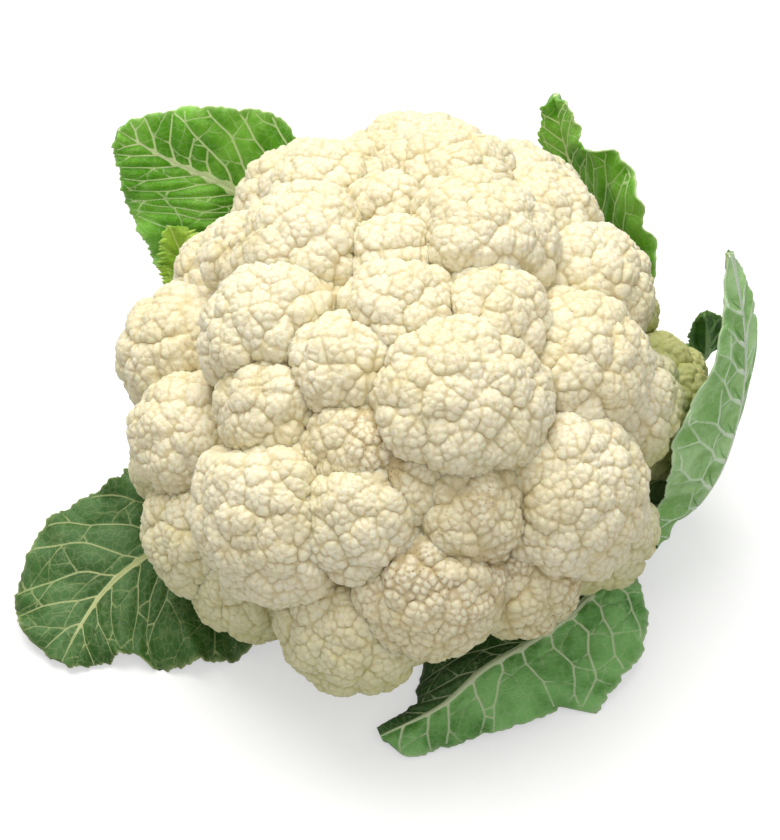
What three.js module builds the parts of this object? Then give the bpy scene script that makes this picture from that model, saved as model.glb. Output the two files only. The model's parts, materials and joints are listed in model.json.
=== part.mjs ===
// A head of cauliflower with its wrapper leaves, standing on its cut stalk.
//
// Millimetres, +Z up. The origin is the centre of the stalk's flat cut face, on the
// surface that the head stands on. -Y is the front, +X is the right.
//
// The curd is a dome of florets. Each floret is a rounded cap on its own branch, and
// the branches meet the stalk inside the head. The leaves leave the stalk below the
// florets: some lie along the surface, and the others stand up around the curd.
import * as THREE from "three";

// Driving dimensions of the curd: the egg-shaped envelope that the florets fill.
const CURD = { halfWidth: 84, halfDepth: 94, widestAt: 48, crown: 82, skirt: 50 };

// The stalk: a stout core, wide at the cut and narrowing inside the curd.
const STALK = {
  cutRadius: 19,
  cutBevel: 2,
  bodyRadius: 21,
  bodyTop: 17,
  neckRadius: 16,
  neckTop: 34,
  tipRadius: 6,
  tipTop: 44,
};

const GAP = 0.4; // clear air between neighbouring pieces
const SINK = 0.92; // depth of a floret's centre under its crown, as a share of its radius
const CAP = 1.44; // a floret's cap radius, as a share of the room that it is given

// The branch of a floret: its radius at the cap and at the stalk, as shares of the floret's
// radius, and the height at which it meets the stalk, as a share of the height of its cap.
const BRANCH = { top: 0.62, foot: 0.3, rise: 0.45, lowestFoot: 14, highestFoot: 40 };

const COLOURS = {
  curd: 0xe9dfbe,
  stalk: 0xc9d4a0,
  leafTop: 0x3f8a35,
  leafDeep: 0x2f6a34,
  leafPale: 0x9dbd97,
  leafYoung: 0x7fae2c,
};

// The florets, tier by tier from the crown down: azimuth in degrees from the front
// towards the right, polar angle in degrees from the top, radius, and how far the
// floret stands out of the envelope (or, below zero, is sunk in it).
const TIERS = {
  crown: [
    [-38, 6, 10, -1],
    [-150, 12, 9, -1],
    [90, 14, 20, 1],
    [-8, 19, 14, 0],
    [-95, 24, 18, 1],
    [45, 26, 14, 0],
    [158, 26, 18, 0],
    [-140, 31, 15, 0],
  ],
  shoulder: [
    [-29, 33, 13, 0],
    [-63, 37, 18, 1],
    [15, 38, 23, 3],
    [120, 38, 15, 0],
    [-104, 42, 12, -2],
    [96, 46, 17, 0],
    [-17, 48, 14, -4],
    [63, 47, 18, 1],
    [-46, 48, 13, 0],
    [178, 52, 19, 0],
  ],
  flank: [
    [0, 54, 14, -5],
    [14, 61, 13, 0],
    [-13, 62, 16, 0],
    [147, 62, 19, 0],
    [-148, 62, 19, 0],
    [40, 67, 21, 2],
    [-33, 68, 22, 2],
    [76, 69, 15, -3],
    [-120, 70, 16, -4],
    [-92, 70, 16, 2],
    [113, 72, 15, -5],
    [-70, 74, 15, 0],
    [4, 78, 18, 1],
    [27, 85, 14, -3],
  ],
  skirt: [
    [175, 90, 19, 0],
    [-58, 100, 16, 1],
    [55, 95, 14, -4],
    [142, 97, 18, 0],
    [-148, 97, 18, -1],
    [-14, 101, 17, 1],
    [94, 91, 17, 4],
    [-112, 102, 17, -2],
    [-82, 104, 15, -2],
    [115, 104, 16, -2],
    [-46, 116, 16, 0],
  ],
};

// A floret's mesh: directions round its own axis, from the crown of the cap (0 degrees)
// to the foot of its branch (180 degrees).
const RING_ANGLES = [20, 42, 65, 88, 112, 136, 156, 170];
const RING_SIDES = 10;
const STALK_SIDES = 20;

const RADIANS = Math.PI / 180;

const vector = (x, y, z) => new THREE.Vector3(x, y, z);

// The envelope's point and outward direction at an azimuth and a polar angle.
function envelopeAt(azimuth, polar) {
  const height = polar < 90 ? CURD.crown : CURD.skirt;
  const a = azimuth * RADIANS;
  const p = polar * RADIANS;
  const unit = vector(Math.sin(p) * Math.sin(a), -Math.sin(p) * Math.cos(a), Math.cos(p));
  const radii = vector(CURD.halfWidth, CURD.halfDepth, height);
  return {
    point: unit.clone().multiply(radii).add(vector(0, 0, CURD.widestAt)),
    normal: unit.clone().divide(radii).normalize(),
  };
}

// The stalk's outline, as [radius, height] from the axis of the cut to the axis of the tip.
function stalkOutline() {
  return [
    [0, 0],
    [STALK.cutRadius, 0],
    [STALK.bodyRadius, STALK.cutBevel],
    [STALK.bodyRadius, STALK.bodyTop],
    [STALK.neckRadius, STALK.neckTop],
    [STALK.tipRadius, STALK.tipTop],
    [0, STALK.tipTop],
  ];
}

// How far the stalk reaches along a direction, measured from the origin.
function stalkReach(direction) {
  const sideways = Math.hypot(direction.x, direction.y);
  return Math.max(...stalkOutline().map(([r, z]) => r * sideways + z * direction.z));
}

// Every floret's cap centre, radius and branch, with the flat walls that it presses
// against: one halfway to each neighbour, and one against the stalk.
function growFlorets() {
  const florets = Object.entries(TIERS).flatMap(([tier, rows]) =>
    rows.map(([azimuth, polar, radius, lift], i) => {
      const { point, normal } = envelopeAt(azimuth, polar);
      const centre = point.addScaledVector(normal, lift - SINK * radius);
      const footHeight = THREE.MathUtils.clamp(centre.z * BRANCH.rise, BRANCH.lowestFoot, BRANCH.highestFoot);
      return { name: `floret_${tier}_${i + 1}`, centre, radius, foot: vector(0, 0, footHeight) };
    }),
  );
  for (const floret of florets) {
    floret.walls = florets
      .filter((other) => other !== floret)
      .map((other) => {
        const towards = other.centre.clone().sub(floret.centre);
        const apart = towards.length();
        const share = (apart ** 2 + floret.radius ** 2 - other.radius ** 2) / (2 * apart);
        return { direction: towards.normalize(), distance: share - GAP / 2 };
      });
    const inward = floret.foot.clone().sub(floret.centre).normalize();
    const clear = -floret.centre.dot(inward) - stalkReach(inward.clone().negate()) - GAP;
    floret.walls.push({ direction: inward, distance: clear });
    floret.inward = inward;
    floret.branchLength = clear;
  }
  return florets;
}

// How far a floret's surface is from its centre, along a direction.
function floretReach(floret, direction) {
  const cap = floret.radius * CAP;
  const cosine = direction.dot(floret.inward);
  let reach = cap;
  if (cosine > 0) {
    const sine = Math.sqrt(Math.max(0, 1 - cosine ** 2));
    const taper = (floret.radius * (BRANCH.top - BRANCH.foot)) / floret.branchLength;
    const branch = (floret.radius * BRANCH.top) / (sine + taper * cosine);
    reach = Math.max(cap, Math.min(branch, floret.branchLength / cosine));
  }
  for (const { direction: normal, distance } of floret.walls) {
    const facing = direction.dot(normal);
    if (facing > 1e-6) reach = Math.min(reach, distance / facing);
  }
  return reach;
}

// A closed mesh from rings of points between two poles, in order from the first pole.
function closeRings(top, rings, bottom) {
  const sides = rings[0].length;
  const points = [top, ...rings.flat(), bottom];
  const index = [];
  const at = (ring, side) => 1 + ring * sides + (side % sides);
  const last = points.length - 1;
  for (let side = 0; side < sides; side++) {
    index.push(0, at(0, side), at(0, side + 1));
    for (let ring = 0; ring < rings.length - 1; ring++) {
      index.push(at(ring, side), at(ring + 1, side), at(ring + 1, side + 1));
      index.push(at(ring, side), at(ring + 1, side + 1), at(ring, side + 1));
    }
    index.push(last, at(rings.length - 1, side + 1), at(rings.length - 1, side));
  }
  const geometry = new THREE.BufferGeometry().setFromPoints(points).setIndex(index);
  geometry.computeVertexNormals();
  return geometry;
}

function floretGeometry(floret) {
  const outward = floret.inward.clone().negate();
  const turn = new THREE.Quaternion().setFromUnitVectors(vector(0, 0, 1), outward);
  const pointAt = (angle, side) => {
    const round = (side / RING_SIDES) * 2 * Math.PI;
    const sine = Math.sin(angle * RADIANS);
    const direction = vector(sine * Math.cos(round), sine * Math.sin(round), Math.cos(angle * RADIANS));
    direction.applyQuaternion(turn);
    return floret.centre.clone().addScaledVector(direction, floretReach(floret, direction));
  };
  const sides = Array.from({ length: RING_SIDES }, (_, side) => side);
  const rings = RING_ANGLES.map((angle) => sides.map((side) => pointAt(angle, side)));
  return closeRings(pointAt(0, 0), rings, pointAt(180, 0));
}

// The leaves. Each blade is stretched between three curves that run from the foot of the
// leaf stalk to the tip: the midrib, and the left and the right edge, as seen by someone
// who looks from the foot towards the tip with the upper side of the blade facing up.
//   bow     how far each half of the blade arches between midrib and edge, as a share of
//           its width: above zero the upper side is humped, below zero it is hollow
//   ruffle  height of the waves along the edges, and the number of waves
//   stem    thickness of the midrib under the blade, at the foot and at the tip
const LEAVES = {
  leaf_front_left: {
    colour: "leafDeep",
    rib: [
      [-22, 2, 9], [-44, -6, 10], [-66, -15, 12], [-80, -26, 14],
      [-93, -38, 12], [-102, -51, 7], [-107, -61, 2.5],
    ],
    left: [
      [-22, -4, 10], [-42, -15, 11], [-47, -52, 5], [-63, -61, 4],
      [-77, -63, 3], [-91, -61, 3], [-105, -63, 2],
    ],
    right: [
      [-22, 7, 10], [-46, 4, 12], [-86, 2, 28], [-98, -7, 24],
      [-115, -16, 16], [-124, -39, 8], [-111, -60, 2.5],
    ],
    bow: 0.06,
    ruffle: [1.2, 5],
    stem: [7, 1],
  },
  leaf_front_right: {
    colour: "leafDeep",
    rib: [
      [19.4, -10.3, 9], [44, -18, 11], [60, -35, 15], [52, -52, 17],
      [38, -64, 16], [22, -74, 14], [9, -84, 9], [-9, -91, 3.5],
    ],
    left: [
      [20.7, -6, 10], [46, -11, 12], [67, -27, 13], [73, -46, 9],
      [66, -69, 4], [47, -81, 3], [21, -92, 2], [-3, -96, 2],
    ],
    right: [
      [18.1, -14.6, 10], [41, -25, 12], [48, -32, 10], [42, -37, 8],
      [28, -44, 6], [11, -54, 4], [2, -74, 3], [-10, -87, 2.5],
    ],
    bow: 0.05,
    ruffle: [1, 4],
    stem: [6, 1],
  },
  leaf_right_tall: {
    colour: "leafPale",
    rib: [
      [21.8, 2.7, 9], [50, 1, 9], [81, -6, 13], [92, -12, 32],
      [98, -10, 60], [98, -5, 88], [93, 1, 115],
    ],
    left: [
      [21.8, 7.2, 10], [50, 8, 12], [88, 12, 15], [100, 16, 38],
      [105, 15, 64], [105, 10, 92], [94, 3, 114],
    ],
    right: [
      [21.8, -1.8, 10], [50, -5, 12], [75, -24, 14], [76, -27, 34],
      [79, -29, 62], [89, -19, 90], [92, 0, 114],
    ],
    bow: -0.12,
    ruffle: [1, 4],
    stem: [6, 1],
  },
  leaf_right_small: {
    colour: "leafDeep",
    rib: [[16.1, 15, 9], [44, 36, 10], [72, 52, 16], [89, 50, 30], [93, 42, 46], [91, 30, 61]],
    left: [[13.4, 18.6, 10], [39, 41, 12], [66, 64, 20], [90, 60, 34], [97, 50, 48], [93, 32, 62]],
    right: [[18.8, 11.4, 10], [48, 30, 12], [79, 38, 18], [89, 34, 30], [90, 30, 46], [90, 29, 60]],
    bow: -0.08,
    ruffle: [0.8, 3],
    stem: [5, 1],
  },
  leaf_back_right: {
    colour: "leafTop",
    rib: [
      [5.3, 21.4, 9], [22, 50, 10], [46, 80, 18], [66, 85, 40],
      [61, 88, 58], [55, 91, 73], [51, 93, 86], [47, 94, 101],
    ],
    left: [
      [1.4, 23.7, 10], [14, 54, 12], [28, 90, 20], [47, 100, 32],
      [47, 99, 52], [45, 97, 70], [43, 96, 85], [43, 94, 97],
    ],
    right: [
      [9.2, 19.1, 10], [30, 45, 12], [64, 66, 24], [80, 55, 54],
      [77, 62, 78], [67, 73, 93], [55, 81, 95], [51, 88, 104],
    ],
    bow: 0.05,
    ruffle: [2, 5],
    stem: [6, 1],
  },
  leaf_back_left: {
    colour: "leafTop",
    rib: [
      [-7.5, 21, 9], [-22, 50, 10], [-36, 84, 15], [-43, 99, 41],
      [-59, 98, 59], [-79, 97, 72], [-95, 95, 86],
    ],
    left: [
      [-11.7, 19.5, 10], [-30, 46, 12], [-54, 76, 18], [-79, 84, 37],
      [-90, 86, 48], [-96, 90, 67], [-97, 93, 83],
    ],
    right: [
      [-3.3, 22.6, 10], [-14, 54, 12], [-12, 92, 16], [-26, 105, 56],
      [-43, 104, 82], [-67, 101, 91], [-91, 97, 90],
    ],
    bow: 0.05,
    ruffle: [1.2, 5],
    stem: [7, 1],
  },
  leaflet_left: {
    colour: "leafYoung",
    rib: [
      [-17.5, 13.5, 9], [-42, 34, 9], [-66, 58, 16],
      [-73, 68, 40], [-75, 72, 50], [-79, 75, 62],
    ],
    left: [
      [-20, 9.5, 10], [-45, 29, 11], [-71, 54, 18],
      [-80, 62, 42], [-82, 68, 52], [-81, 74, 60],
    ],
    right: [
      [-14, 18, 10], [-39, 38, 11], [-62, 62, 18],
      [-64, 74, 36], [-66, 76, 54], [-76, 77, 60],
    ],
    bow: 0.05,
    ruffle: [0.6, 5],
    stem: [5, 1],
  },
  leaflet_front: {
    colour: "leafYoung",
    rib: [[8, -20.5, 14], [14, -36, 16], [19, -52, 19], [23, -65, 28]],
    left: [[10.5, -19.5, 14.5], [18, -34, 17], [25, -49, 20], [24.5, -64, 28]],
    right: [[5.5, -21.5, 14.5], [10, -38, 17], [12, -54, 20], [21, -65, 28]],
    bow: 0.05,
    ruffle: [0.5, 3],
    stem: [3, 0.6],
  },
};

// A leaf's mesh: stations along the midrib, and lines across the blade from edge to edge.
const STATIONS_PER_SPAN = 3;
const ACROSS = [-1, -0.6, -0.16, 0, 0.16, 0.6, 1];
const BLADE = 1.2; // thickness of a blade
const RIB_TAPER = 0.6; // below 1 the midrib thins fastest near its foot
const RIB_FILLET = 2; // how much wider than deep the midrib is where it joins the blade
const FULL_RUFFLE = 20; // half-width from which the waves along an edge have their full height
const RIGHT_PHASE = 1.9; // turns the right edge's waves out of step with the left edge's
const STEP = 0.01; // the step that finds a direction on a curve or a blade

// The place at share u of a list of points, on a smooth curve through them.
function along(list, u) {
  const curve = new THREE.CatmullRomCurve3(list.map((p) => vector(...p)), false, "catmullrom", 0.5);
  return curve.getPoint(u);
}

// The middle of a blade at share u from foot to tip and share v from the midrib to an edge,
// and the width of that half of the blade.
function bladeAt(leaf, u, v) {
  const rib = along(leaf.rib, u);
  const left = along(leaf.left, u);
  const right = along(leaf.right, u);
  const forward = along(leaf.rib, Math.min(1, u + STEP)).sub(along(leaf.rib, Math.max(0, u - STEP)));
  const face = right.clone().sub(left).cross(forward).normalize();
  const half = (v < 0 ? left : right).sub(rib);
  const share = Math.abs(v);
  const [height, waves] = leaf.ruffle;
  const wave = height * share ** 3 * Math.sin(2 * Math.PI * waves * u + (v < 0 ? 0 : RIGHT_PHASE));
  const arch = leaf.bow * half.length() * 4 * share * (1 - share);
  const grown = Math.min(1, half.length() / FULL_RUFFLE);
  const point = rib.addScaledVector(half, share).addScaledVector(face, arch + wave * grown);
  return { point, width: half.length() };
}

// The direction that the upper side faces at a place on a blade.
function bladeNormal(leaf, u, v) {
  const tipward = bladeAt(leaf, Math.min(1, u + STEP), v).point;
  const footward = bladeAt(leaf, Math.max(0, u - STEP), v).point;
  const rightward = bladeAt(leaf, u, Math.min(1, v + STEP)).point;
  const leftward = bladeAt(leaf, u, Math.max(-1, v - STEP)).point;
  return rightward.sub(leftward).cross(tipward.sub(footward)).normalize();
}

// The upper face and the lower face, stitched round the edge. The midrib stands out below.
function leafGeometry(leaf) {
  const rings = [];
  const last = (leaf.rib.length - 1) * STATIONS_PER_SPAN;
  for (let station = 0; station <= last; station++) {
    const u = station / last;
    const ribDepth = THREE.MathUtils.lerp(leaf.stem[0], leaf.stem[1], u ** RIB_TAPER);
    const upper = [];
    const lower = [];
    for (const v of ACROSS) {
      const { point, width } = bladeAt(leaf, u, v);
      const normal = bladeNormal(leaf, u, v);
      const away = (Math.abs(v) * width) / (ribDepth + RIB_FILLET);
      const depth = ribDepth * Math.max(0, 1 - away ** 2);
      upper.push(point.clone().addScaledVector(normal, BLADE / 2));
      lower.push(point.clone().addScaledVector(normal, -BLADE / 2 - depth));
    }
    rings.push([...lower, ...upper.reverse()]);
  }
  const middleOf = (ring) => ring.reduce((sum, p) => sum.add(p), vector(0, 0, 0)).divideScalar(ring.length);
  return closeRings(middleOf(rings[0]), rings, middleOf(rings[last]));
}

// The stalk, turned from its outline.
function stalkGeometry() {
  const outline = stalkOutline().map(([r, z]) => new THREE.Vector2(r, z));
  return new THREE.LatheGeometry(outline, STALK_SIDES).rotateX(Math.PI / 2);
}

const material = (colour, roughness) =>
  new THREE.MeshStandardMaterial({ color: COLOURS[colour], roughness, metalness: 0 });

function piece(name, geometry, look) {
  const mesh = new THREE.Mesh(geometry, look);
  mesh.name = name;
  return mesh;
}

const cauliflower = new THREE.Group();
cauliflower.add(piece("stalk", stalkGeometry(), material("stalk", 0.55)));
for (const floret of growFlorets()) {
  cauliflower.add(piece(floret.name, floretGeometry(floret), material("curd", 0.6)));
}
for (const [name, leaf] of Object.entries(LEAVES)) {
  cauliflower.add(piece(name, leafGeometry(leaf), material(leaf.colour, 0.5)));
}

export default cauliflower;
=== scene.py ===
"""A head of cauliflower: granular florets on their branches, a cut stalk and veined wrapper leaves.

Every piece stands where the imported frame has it. Lengths in this file are millimetres, and turn into
metres when a mesh is made. -Y is the front, +X is the right and +Z is up.
"""
from __future__ import annotations

import json
import logging
import math
from dataclasses import dataclass, field
from enum import Enum
from functools import lru_cache

import bpy
import numpy as np
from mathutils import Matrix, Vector, kdtree, noise

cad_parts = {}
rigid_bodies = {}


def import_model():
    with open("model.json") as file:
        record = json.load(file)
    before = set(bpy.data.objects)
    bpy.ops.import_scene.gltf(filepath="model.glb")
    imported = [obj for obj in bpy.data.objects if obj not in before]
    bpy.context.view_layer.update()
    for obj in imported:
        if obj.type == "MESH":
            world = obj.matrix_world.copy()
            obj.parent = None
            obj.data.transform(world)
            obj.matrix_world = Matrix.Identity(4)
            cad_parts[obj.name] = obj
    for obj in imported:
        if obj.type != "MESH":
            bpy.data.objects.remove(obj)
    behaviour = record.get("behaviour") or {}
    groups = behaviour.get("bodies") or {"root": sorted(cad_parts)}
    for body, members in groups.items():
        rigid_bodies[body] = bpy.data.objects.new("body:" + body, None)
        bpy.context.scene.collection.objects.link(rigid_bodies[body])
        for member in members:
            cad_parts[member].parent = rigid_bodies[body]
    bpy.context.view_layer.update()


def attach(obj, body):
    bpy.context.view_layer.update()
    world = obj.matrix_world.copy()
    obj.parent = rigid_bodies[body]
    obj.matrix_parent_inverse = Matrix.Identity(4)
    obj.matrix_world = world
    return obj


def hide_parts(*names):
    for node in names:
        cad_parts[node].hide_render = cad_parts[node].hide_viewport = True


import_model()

log = logging.getLogger("cauliflower")

MM = 0.001  # metres in a millimetre
GOLDEN_ANGLE = math.pi * (3 - math.sqrt(5))
UV_MAP = "OFBake"


# ---- Arithmetic on arrays of points ----


def unit(vectors: np.ndarray) -> np.ndarray:
    """Return the vectors scaled to length one."""
    return vectors / np.maximum(np.linalg.norm(vectors, axis=-1, keepdims=True), 1e-12)


def smooth_step(low: float, high: float, values: np.ndarray) -> np.ndarray:
    """Rise smoothly from 0 at low to 1 at high.

    Args:
        low: The value at which the rise starts.
        high: The value at which it ends.
        values: The values to map.

    Returns:
        An array of shares between 0 and 1.
    """
    share = np.clip((values - low) / (high - low), 0.0, 1.0)
    return share * share * (3 - 2 * share)


def catmull_rom(points: np.ndarray, shares: np.ndarray) -> np.ndarray:
    """Place shares of the way along a smooth curve through evenly counted points.

    Args:
        points: The points that the curve passes through, one per row.
        shares: Places from 0, the first point, to 1, the last.

    Returns:
        One point per share.
    """
    spans = len(points) - 1
    padded = np.vstack([2 * points[:1] - points[1:2], points, 2 * points[-1:] - points[-2:-1]])
    place = np.clip(shares * spans, 0, spans - 1e-9)
    first = place.astype(int)
    t = (place - first)[:, None]
    a, b, c, d = (padded[first + step] for step in range(4))
    return b + 0.5 * t * (c - a + t * (2 * a - 5 * b + 4 * c - d + t * (3 * (b - c) + d - a)))


def gather(values: np.ndarray, faces: np.ndarray, count: int) -> np.ndarray:
    """Add up the faces' values at each vertex.

    Args:
        values: Three numbers per face.
        faces: Triangles, three vertex numbers per row.
        count: The number of vertices.

    Returns:
        Three numbers per vertex.
    """
    spread = np.repeat(values, 3, axis=0)
    return np.stack([np.bincount(faces.ravel(), spread[:, axis], count) for axis in range(3)], axis=1)


def vertex_normals(points: np.ndarray, faces: np.ndarray) -> np.ndarray:
    """Average the faces' directions at each vertex.

    Args:
        points: The vertices.
        faces: Triangles, three vertex numbers per row.

    Returns:
        One outward unit vector per vertex.
    """
    a, b, c = (points[faces[:, corner]] for corner in range(3))
    return unit(gather(np.cross(b - a, c - a), faces, len(points)))


@lru_cache(maxsize=None)
def geodesic_sphere(frequency: int) -> tuple[np.ndarray, np.ndarray]:
    """Divide an icosahedron's faces evenly and push the points out to a sphere.

    Args:
        frequency: The number of triangles along each of the icosahedron's edges.

    Returns:
        Unit vectors, and triangles wound to face outwards.
    """
    golden = (1 + math.sqrt(5)) / 2
    corners = unit(np.array([(0, s, t * golden) for s in (-1, 1) for t in (-1, 1)], float))
    corners = np.vstack([corners, corners[:, [2, 0, 1]], corners[:, [1, 2, 0]]])
    edge = min(np.linalg.norm(corners[0] - other) for other in corners[1:]) * 1.01
    near = np.linalg.norm(corners[:, None] - corners[None], axis=-1) < edge
    points, faces = [], []
    for i in range(12):
        for j in range(i + 1, 12):
            for k in range(j + 1, 12):
                if not (near[i, j] and near[j, k] and near[i, k]):
                    continue
                a, b, c = corners[[i, j, k]]
                if np.dot(np.cross(b - a, c - a), a) < 0:
                    b, c = c, b
                start = len(points)
                number = {}
                for row in range(frequency + 1):
                    for column in range(frequency + 1 - row):
                        number[row, column] = start + len(number)
                        points.append((a * (frequency - row - column) + b * row + c * column) / frequency)
                for row in range(frequency):
                    for column in range(frequency - row):
                        here, down = number[row, column], number[row + 1, column]
                        across = number[row, column + 1]
                        faces.append((here, down, across))
                        if column < frequency - row - 1:
                            faces.append((down, number[row + 1, column + 1], across))
    directions = unit(np.array(points))
    _, first, merged = np.unique(np.round(directions, 6), axis=0, return_index=True, return_inverse=True)
    return directions[first], merged.reshape(-1)[np.array(faces)]


def make_piece(
    name: str,
    points: np.ndarray,
    faces: np.ndarray,
    attributes: dict[str, np.ndarray],
    corner_uv: np.ndarray,
    material: bpy.types.Material,
) -> bpy.types.Object:
    """Make a smooth-shaded object that stands for the CAD node of the same name.

    Args:
        name: The CAD node's name.
        points: Vertices in millimetres.
        faces: Triangles or quads, one row of vertex numbers each.
        attributes: Values per vertex, one or three numbers each, by name.
        corner_uv: Two numbers for each corner of each face.
        material: The finish.

    Returns:
        The object, riding on the frame.
    """
    mesh = bpy.data.meshes.new(name + "_mesh")
    mesh.from_pydata((points * MM).tolist(), [], faces.tolist())
    for label, values in attributes.items():
        flat = np.ascontiguousarray(values, dtype=np.float32)
        if flat.ndim == 1:
            mesh.attributes.new(label, "FLOAT", "POINT").data.foreach_set("value", flat)
        else:
            mesh.attributes.new(label, "FLOAT_VECTOR", "POINT").data.foreach_set("vector", flat.ravel())
    mesh.uv_layers.new(name=UV_MAP).data.foreach_set("uv", corner_uv.astype(np.float32).ravel())
    mesh.materials.append(material)
    mesh.shade_smooth()
    mesh.update()
    piece = bpy.data.objects.new(name + "_grown", mesh)
    bpy.context.scene.collection.objects.link(piece)
    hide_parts(name)
    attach(piece, "root")
    return piece


# ---- Finishes ----

Colour = tuple[float, float, float]
Curve = tuple[tuple[float, float, float], ...]
Profile = tuple[tuple[float, float], ...]
NET_WARP = (2.0, 2.0, 0.0)  # how far the finest veins are pulled out of line on the flat leaf
WAX = (0.42, 0.55, 0.47)
CURD_SHADOW = (0.012, 0.035, 0.006)  # painted shadow: the dark of the curd's shadow on a blade


class Slot(Enum):
    """The record's material slots."""

    CURD = "curd"
    STALK = "stalk"
    GREEN = "leaf_green"
    BLUE_GREEN = "leaf_blue_green"
    GLAUCOUS = "leaf_glaucous"
    YOUNG = "leaf_young"


class Sheet:
    """A node tree being wired: a material's, or a shader group's."""

    def __init__(self, tree: bpy.types.NodeTree) -> None:
        """Start wiring a tree."""
        self.tree = tree

    def add(self, kind: str, **settings: object) -> bpy.types.Node:
        """Add a node.

        Args:
            kind: The node's type without its prefix, such as "TexNoise".
            settings: Properties of the node, by name.

        Returns:
            The node.
        """
        node = self.tree.nodes.new("ShaderNode" + kind)
        for label, value in settings.items():
            setattr(node, label, value)
        return node

    def feed(self, node: bpy.types.Node, **sources: object) -> bpy.types.Node:
        """Fill a node's inputs, each with a value or from another node's output.

        Args:
            node: The node.
            sources: A value or an output for each input, with spaces in its name as underscores.

        Returns:
            The same node.
        """
        for label, source in sources.items():
            key = label.replace("_", " ")
            self.connect(next(s for s in node.inputs if s.name == key and s.enabled), source)
        return node

    def connect(self, socket: bpy.types.NodeSocket, source: object) -> None:
        """Set a socket to a value, or link it to an output."""
        if isinstance(source, bpy.types.NodeSocket):
            self.tree.links.new(source, socket)
        else:
            socket.default_value = source

    def mask(self, label: str) -> bpy.types.NodeSocket:
        """Read a number that the mesh carries at each vertex."""
        return self.add("Attribute", attribute_name=label).outputs["Fac"]

    def times(self, a: object, b: object) -> bpy.types.NodeSocket:
        """Multiply two numbers."""
        return self.math("MULTIPLY", a, b)

    def math(self, operation: str, a: object, b: object = 0.0, clamp: bool = False) -> bpy.types.NodeSocket:
        """Combine two numbers.

        Args:
            operation: The Math node's operation.
            a: The first number or output.
            b: The second number or output.
            clamp: Whether the result is kept between 0 and 1.

        Returns:
            The result's socket.
        """
        node = self.add("Math", operation=operation, use_clamp=clamp)
        self.connect(node.inputs[0], a)
        self.connect(node.inputs[1], b)
        return node.outputs[0]

    def ramp(
        self, value: object, low: float, high: float, to_low: float = 0.0, to_high: float = 1.0
    ) -> bpy.types.NodeSocket:
        """Map a range of values smoothly to another.

        Args:
            value: The output to map.
            low: The value that gives to_low.
            high: The value that gives to_high.
            to_low: The lowest result.
            to_high: The highest result.

        Returns:
            The result's socket.
        """
        node = self.add("MapRange", interpolation_type="SMOOTHSTEP")
        self.feed(node, Value=value, From_Min=low, From_Max=high, To_Min=to_low, To_Max=to_high)
        return node.outputs["Result"]

    def mix(self, share: object, first: object, second: object) -> bpy.types.NodeSocket:
        """Mix two colours.

        Args:
            share: How much of the second colour, as a number or an output.
            first: A colour or an output.
            second: A colour or an output.

        Returns:
            The mixed colour's socket.
        """
        node = self.add("Mix", data_type="RGBA")
        colour_sockets = node.inputs[6], node.inputs[7]
        self.connect(node.inputs[0], share)
        for socket, source in zip(colour_sockets, (first, second)):
            self.connect(socket, (*source, 1.0) if isinstance(source, tuple) else source)
        return node.outputs[2]


def new_group(
    name: str, inputs: dict[str, float], outputs: tuple[str, ...]
) -> tuple[Sheet, bpy.types.Node, bpy.types.Node]:
    """Start a shader node group.

    Args:
        name: The group's name.
        inputs: Default value of each number that goes in, by name.
        outputs: Names of the masks that come out.

    Returns:
        The group's sheet, its input node and its output node.
    """
    tree = bpy.data.node_groups.new(name, "ShaderNodeTree")
    tree.interface.new_socket("Vector", in_out="INPUT", socket_type="NodeSocketVector")
    for label, value in inputs.items():
        tree.interface.new_socket(label, in_out="INPUT", socket_type="NodeSocketFloat").default_value = value
    for label in outputs:
        tree.interface.new_socket(label, in_out="OUTPUT", socket_type="NodeSocketFloat")
    sheet = Sheet(tree)
    return sheet, tree.nodes.new("NodeGroupInput"), tree.nodes.new("NodeGroupOutput")


@lru_cache(maxsize=None)
def mottle_group() -> bpy.types.NodeTree:
    """Make the group for soft uneven patches, used by every finish.

    Returns:
        A group with a mask of broad patches and one of fine grain.
    """
    sheet, given, result = new_group("uneven_growth", {"Scale": 60.0, "Grain": 900.0}, ("Patches", "Grain"))
    broad = sheet.add("TexNoise")
    sheet.feed(broad, Vector=given.outputs["Vector"], Scale=given.outputs["Scale"], Detail=3.0, Roughness=0.55)
    fine = sheet.add("TexNoise")
    sheet.feed(fine, Vector=given.outputs["Vector"], Scale=given.outputs["Grain"], Detail=2.0, Roughness=0.6)
    sheet.feed(result, Patches=sheet.ramp(broad.outputs["Fac"], 0.35, 0.65))
    sheet.feed(result, Grain=sheet.ramp(fine.outputs["Fac"], 0.3, 0.7))
    return sheet.tree


@lru_cache(maxsize=None)
def speckle_group() -> bpy.types.NodeTree:
    """Make the group for small scattered spots.

    Returns:
        A group with a mask that is 1 inside the spots.
    """
    sheet, given, result = new_group("speckles", {"Scale": 500.0, "Size": 0.2, "Share": 0.3}, ("Spots",))
    cells = sheet.add("TexVoronoi", feature="F1")
    sheet.feed(cells, Vector=given.outputs["Vector"], Scale=given.outputs["Scale"])
    inside = sheet.math("LESS_THAN", cells.outputs["Distance"], given.outputs["Size"])
    pick = sheet.add("SeparateColor")
    sheet.feed(pick, Color=cells.outputs["Color"])
    chosen = sheet.math("LESS_THAN", pick.outputs["Red"], given.outputs["Share"])
    sheet.feed(result, Spots=sheet.times(inside, chosen))
    return sheet.tree


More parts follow.
